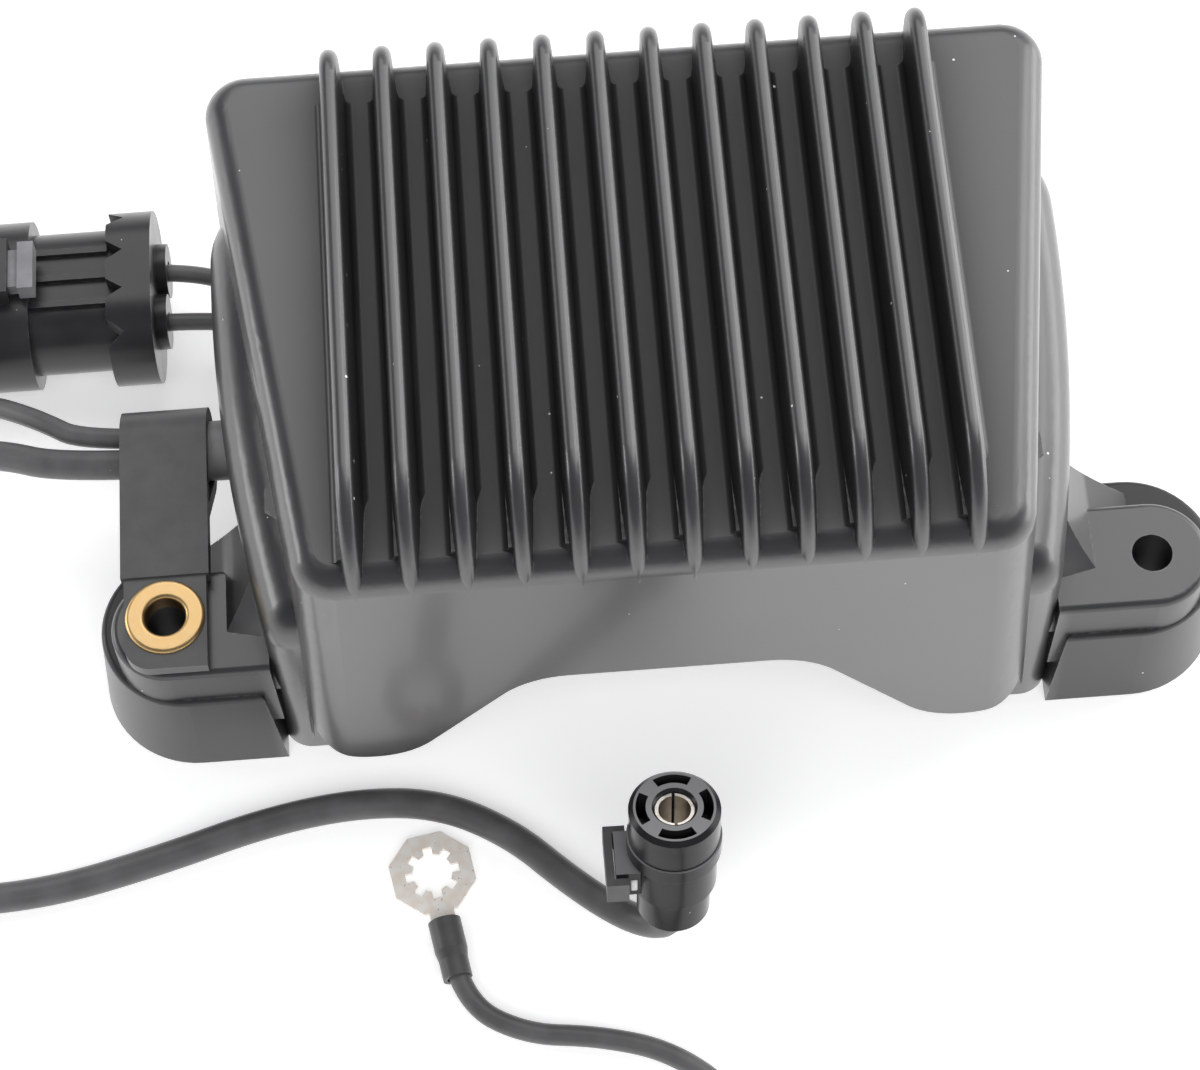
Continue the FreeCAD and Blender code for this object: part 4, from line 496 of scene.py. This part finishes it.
# ---------------------------------------------------------------------------
# Connectors: glass-filled nylon, injection moulded. The round one is glossy,
# with its upward end face painted a lighter grey as painted light, and the oval one is
# satin. Their locks snap on, the seals are soft rubber and the contacts are tinned copper.
# ---------------------------------------------------------------------------
# The lighter edges of the glossy nylon are partly wear and partly a painted highlight along its
# edges.
glossy_nylon = finish_material(
    "glossy_nylon", (0.014, 0.014, 0.015), 0.25, wave=130.0, fine=2600.0, bump=0.00004,
    rough_spread=0.12, wear_and_highlight_colour=(0.16, 0.16, 0.16), wear_width=0.0003, wear_amount=0.35,
    dust_colour=(0.70, 0.70, 0.68), dust_spacing=0.0019, dust_size=0.06, dust_share=0.30,
    specular=0.14, grain_share=0.25)
# Painted light: faces that point up along Z are painted a lighter grey than the glossy sides.
painted_light_face_colour, face_from, face_full = (0.20, 0.20, 0.203, 1.0), 0.93, 0.96
nylon_tree = glossy_nylon.node_tree
nylon_colour = nylon_tree.nodes["Principled BSDF"].inputs["Base Color"]
turned = put(nylon_tree, "ShaderNodeTexCoord")
facing = put(nylon_tree, "ShaderNodeSeparateXYZ", turned.outputs["Normal"])
end_face = put(nylon_tree, "ShaderNodeMapRange", facing.outputs["Z"], face_from, face_full,
               0.0, 1.0)
painted_light_face_blend = put(nylon_tree, "ShaderNodeMix", end_face.outputs[0], data_type="RGBA")
nylon_tree.links.new(nylon_colour.links[0].from_socket, painted_light_face_blend.inputs["A"])
painted_light_face_blend.inputs["B"].default_value = painted_light_face_colour
nylon_tree.links.new(painted_light_face_blend.outputs["Result"], nylon_colour)
satin_nylon = finish_material(
    "satin_nylon", (0.018, 0.018, 0.019), 0.36, wave=130.0, fine=2600.0, bump=0.00004,
    rough_spread=0.14, wear_and_highlight_colour=(0.16, 0.16, 0.16), wear_width=0.0003, wear_amount=0.35,
    dust_colour=(0.62, 0.62, 0.60), dust_spacing=0.0024, dust_size=0.05, dust_share=0.25,
    grain_share=0.25)
matt_nylon = finish_material(
    "matt_nylon", (0.060, 0.060, 0.061), 0.48, wave=240.0, fine=3400.0, bump=0.00004,
    wear_and_highlight_colour=(0.2, 0.2, 0.2), wear_width=0.0002, wear_amount=0.3)
grey_nylon = finish_material(
    "grey_nylon", (0.19, 0.19, 0.20), 0.46, wave=240.0, fine=3400.0, bump=0.00004)
seal_rubber = finish_material(
    "seal_rubber", (0.040, 0.040, 0.042), 0.6, wave=320.0, fine=2600.0, bump=0.00005)
tinned_metal = finish_material(
    "tinned_metal", (0.74, 0.69, 0.62), 0.33, wave=520.0, fine=5000.0, bump=0.00005,
    metallic=1.0, patch_colour=(0.88, 0.84, 0.79), rough_spread=0.2,
    wear_and_highlight_colour=(0.55, 0.36, 0.24), wear_width=0.00035, wear_amount=0.5,
    dust_colour=(0.30, 0.22, 0.17), dust_spacing=0.0007, dust_size=0.16, dust_share=0.3,
    grain_share=0.5)
for material, pieces in (
        (glossy_nylon, ["round_connector_housing"]),
        (satin_nylon, ["oval_connector_housing", "oval_connector_cap"]),
        (matt_nylon, ["round_connector_lock"]),
        (grey_nylon, ["oval_connector_lock"]),
        (seal_rubber, ["oval_connector_seal", "round_connector_seal"]),
        (tinned_metal, ["blade_terminal_a", "blade_terminal_b", "round_connector_socket"])):
    for piece in pieces:
        dress(piece, material)


# ---------------------------------------------------------------------------
# Latch insert: a small bar of pale nylon, pressed in between the lock of the
# round connector and its latch boss. It stands along the plug.
# ---------------------------------------------------------------------------
insert_width, insert_depth, insert_length, insert_round = 0.0011, 0.0005, 0.0028, 0.0002
insert_place = (-0.00835, -0.08443, 0.0286)
plug_axis, plug_front = Vector((0.0306, 0.2248, 0.9739)), Vector((0.007, -0.9744, 0.2247))
plug_turn = Matrix((plug_front.cross(plug_axis), plug_front, plug_axis)).transposed().to_4x4()
insert_build = bmesh.new()
bmesh.ops.create_cube(insert_build, size=1.0)
bmesh.ops.scale(insert_build, vec=(insert_width, insert_depth, insert_length),
                verts=insert_build.verts)
bmesh.ops.bevel(insert_build, geom=insert_build.edges[:], offset=insert_round, segments=3,
                affect="EDGES", profile=0.5)
bmesh.ops.transform(insert_build, matrix=Matrix.Translation(insert_place) @ plug_turn,
                    verts=insert_build.verts)
insert_mesh = bpy.data.meshes.new("latch_insert")
insert_build.to_mesh(insert_mesh)
insert_build.free()
pale_nylon = finish_material(
    "pale_nylon", (0.62, 0.62, 0.61), 0.45, wave=400.0, fine=3600.0, bump=0.00002)
insert_mesh.materials.append(pale_nylon)
latch_insert = bpy.data.objects.new("latch_insert", insert_mesh)
scene.collection.objects.link(latch_insert)
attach(latch_insert, "root")


# ---------------------------------------------------------------------------
# Ring terminal: stamped from copper strip and tinned, with teeth round its
# hole, and crimped on the ground lead. The tin is dull and stained from
# handling, and a shrunk sleeve covers the barrel.
# ---------------------------------------------------------------------------
dull_tin = finish_material(
    "dull_tin", (0.93, 0.83, 0.74), 0.44, wave=520.0, fine=5200.0, bump=0.00006,
    metallic=0.18, patch_colour=(0.98, 0.95, 0.91), rough_spread=0.25,
    wear_and_highlight_colour=(0.66, 0.45, 0.32), wear_width=0.00035, wear_amount=0.7,
    dust_colour=(0.42, 0.32, 0.26), dust_spacing=0.0006, dust_size=0.24, dust_share=0.40,
    grain_share=0.5)
dress("ring_terminal", dull_tin)
dress("ring_terminal_sleeve", shrink_skin)
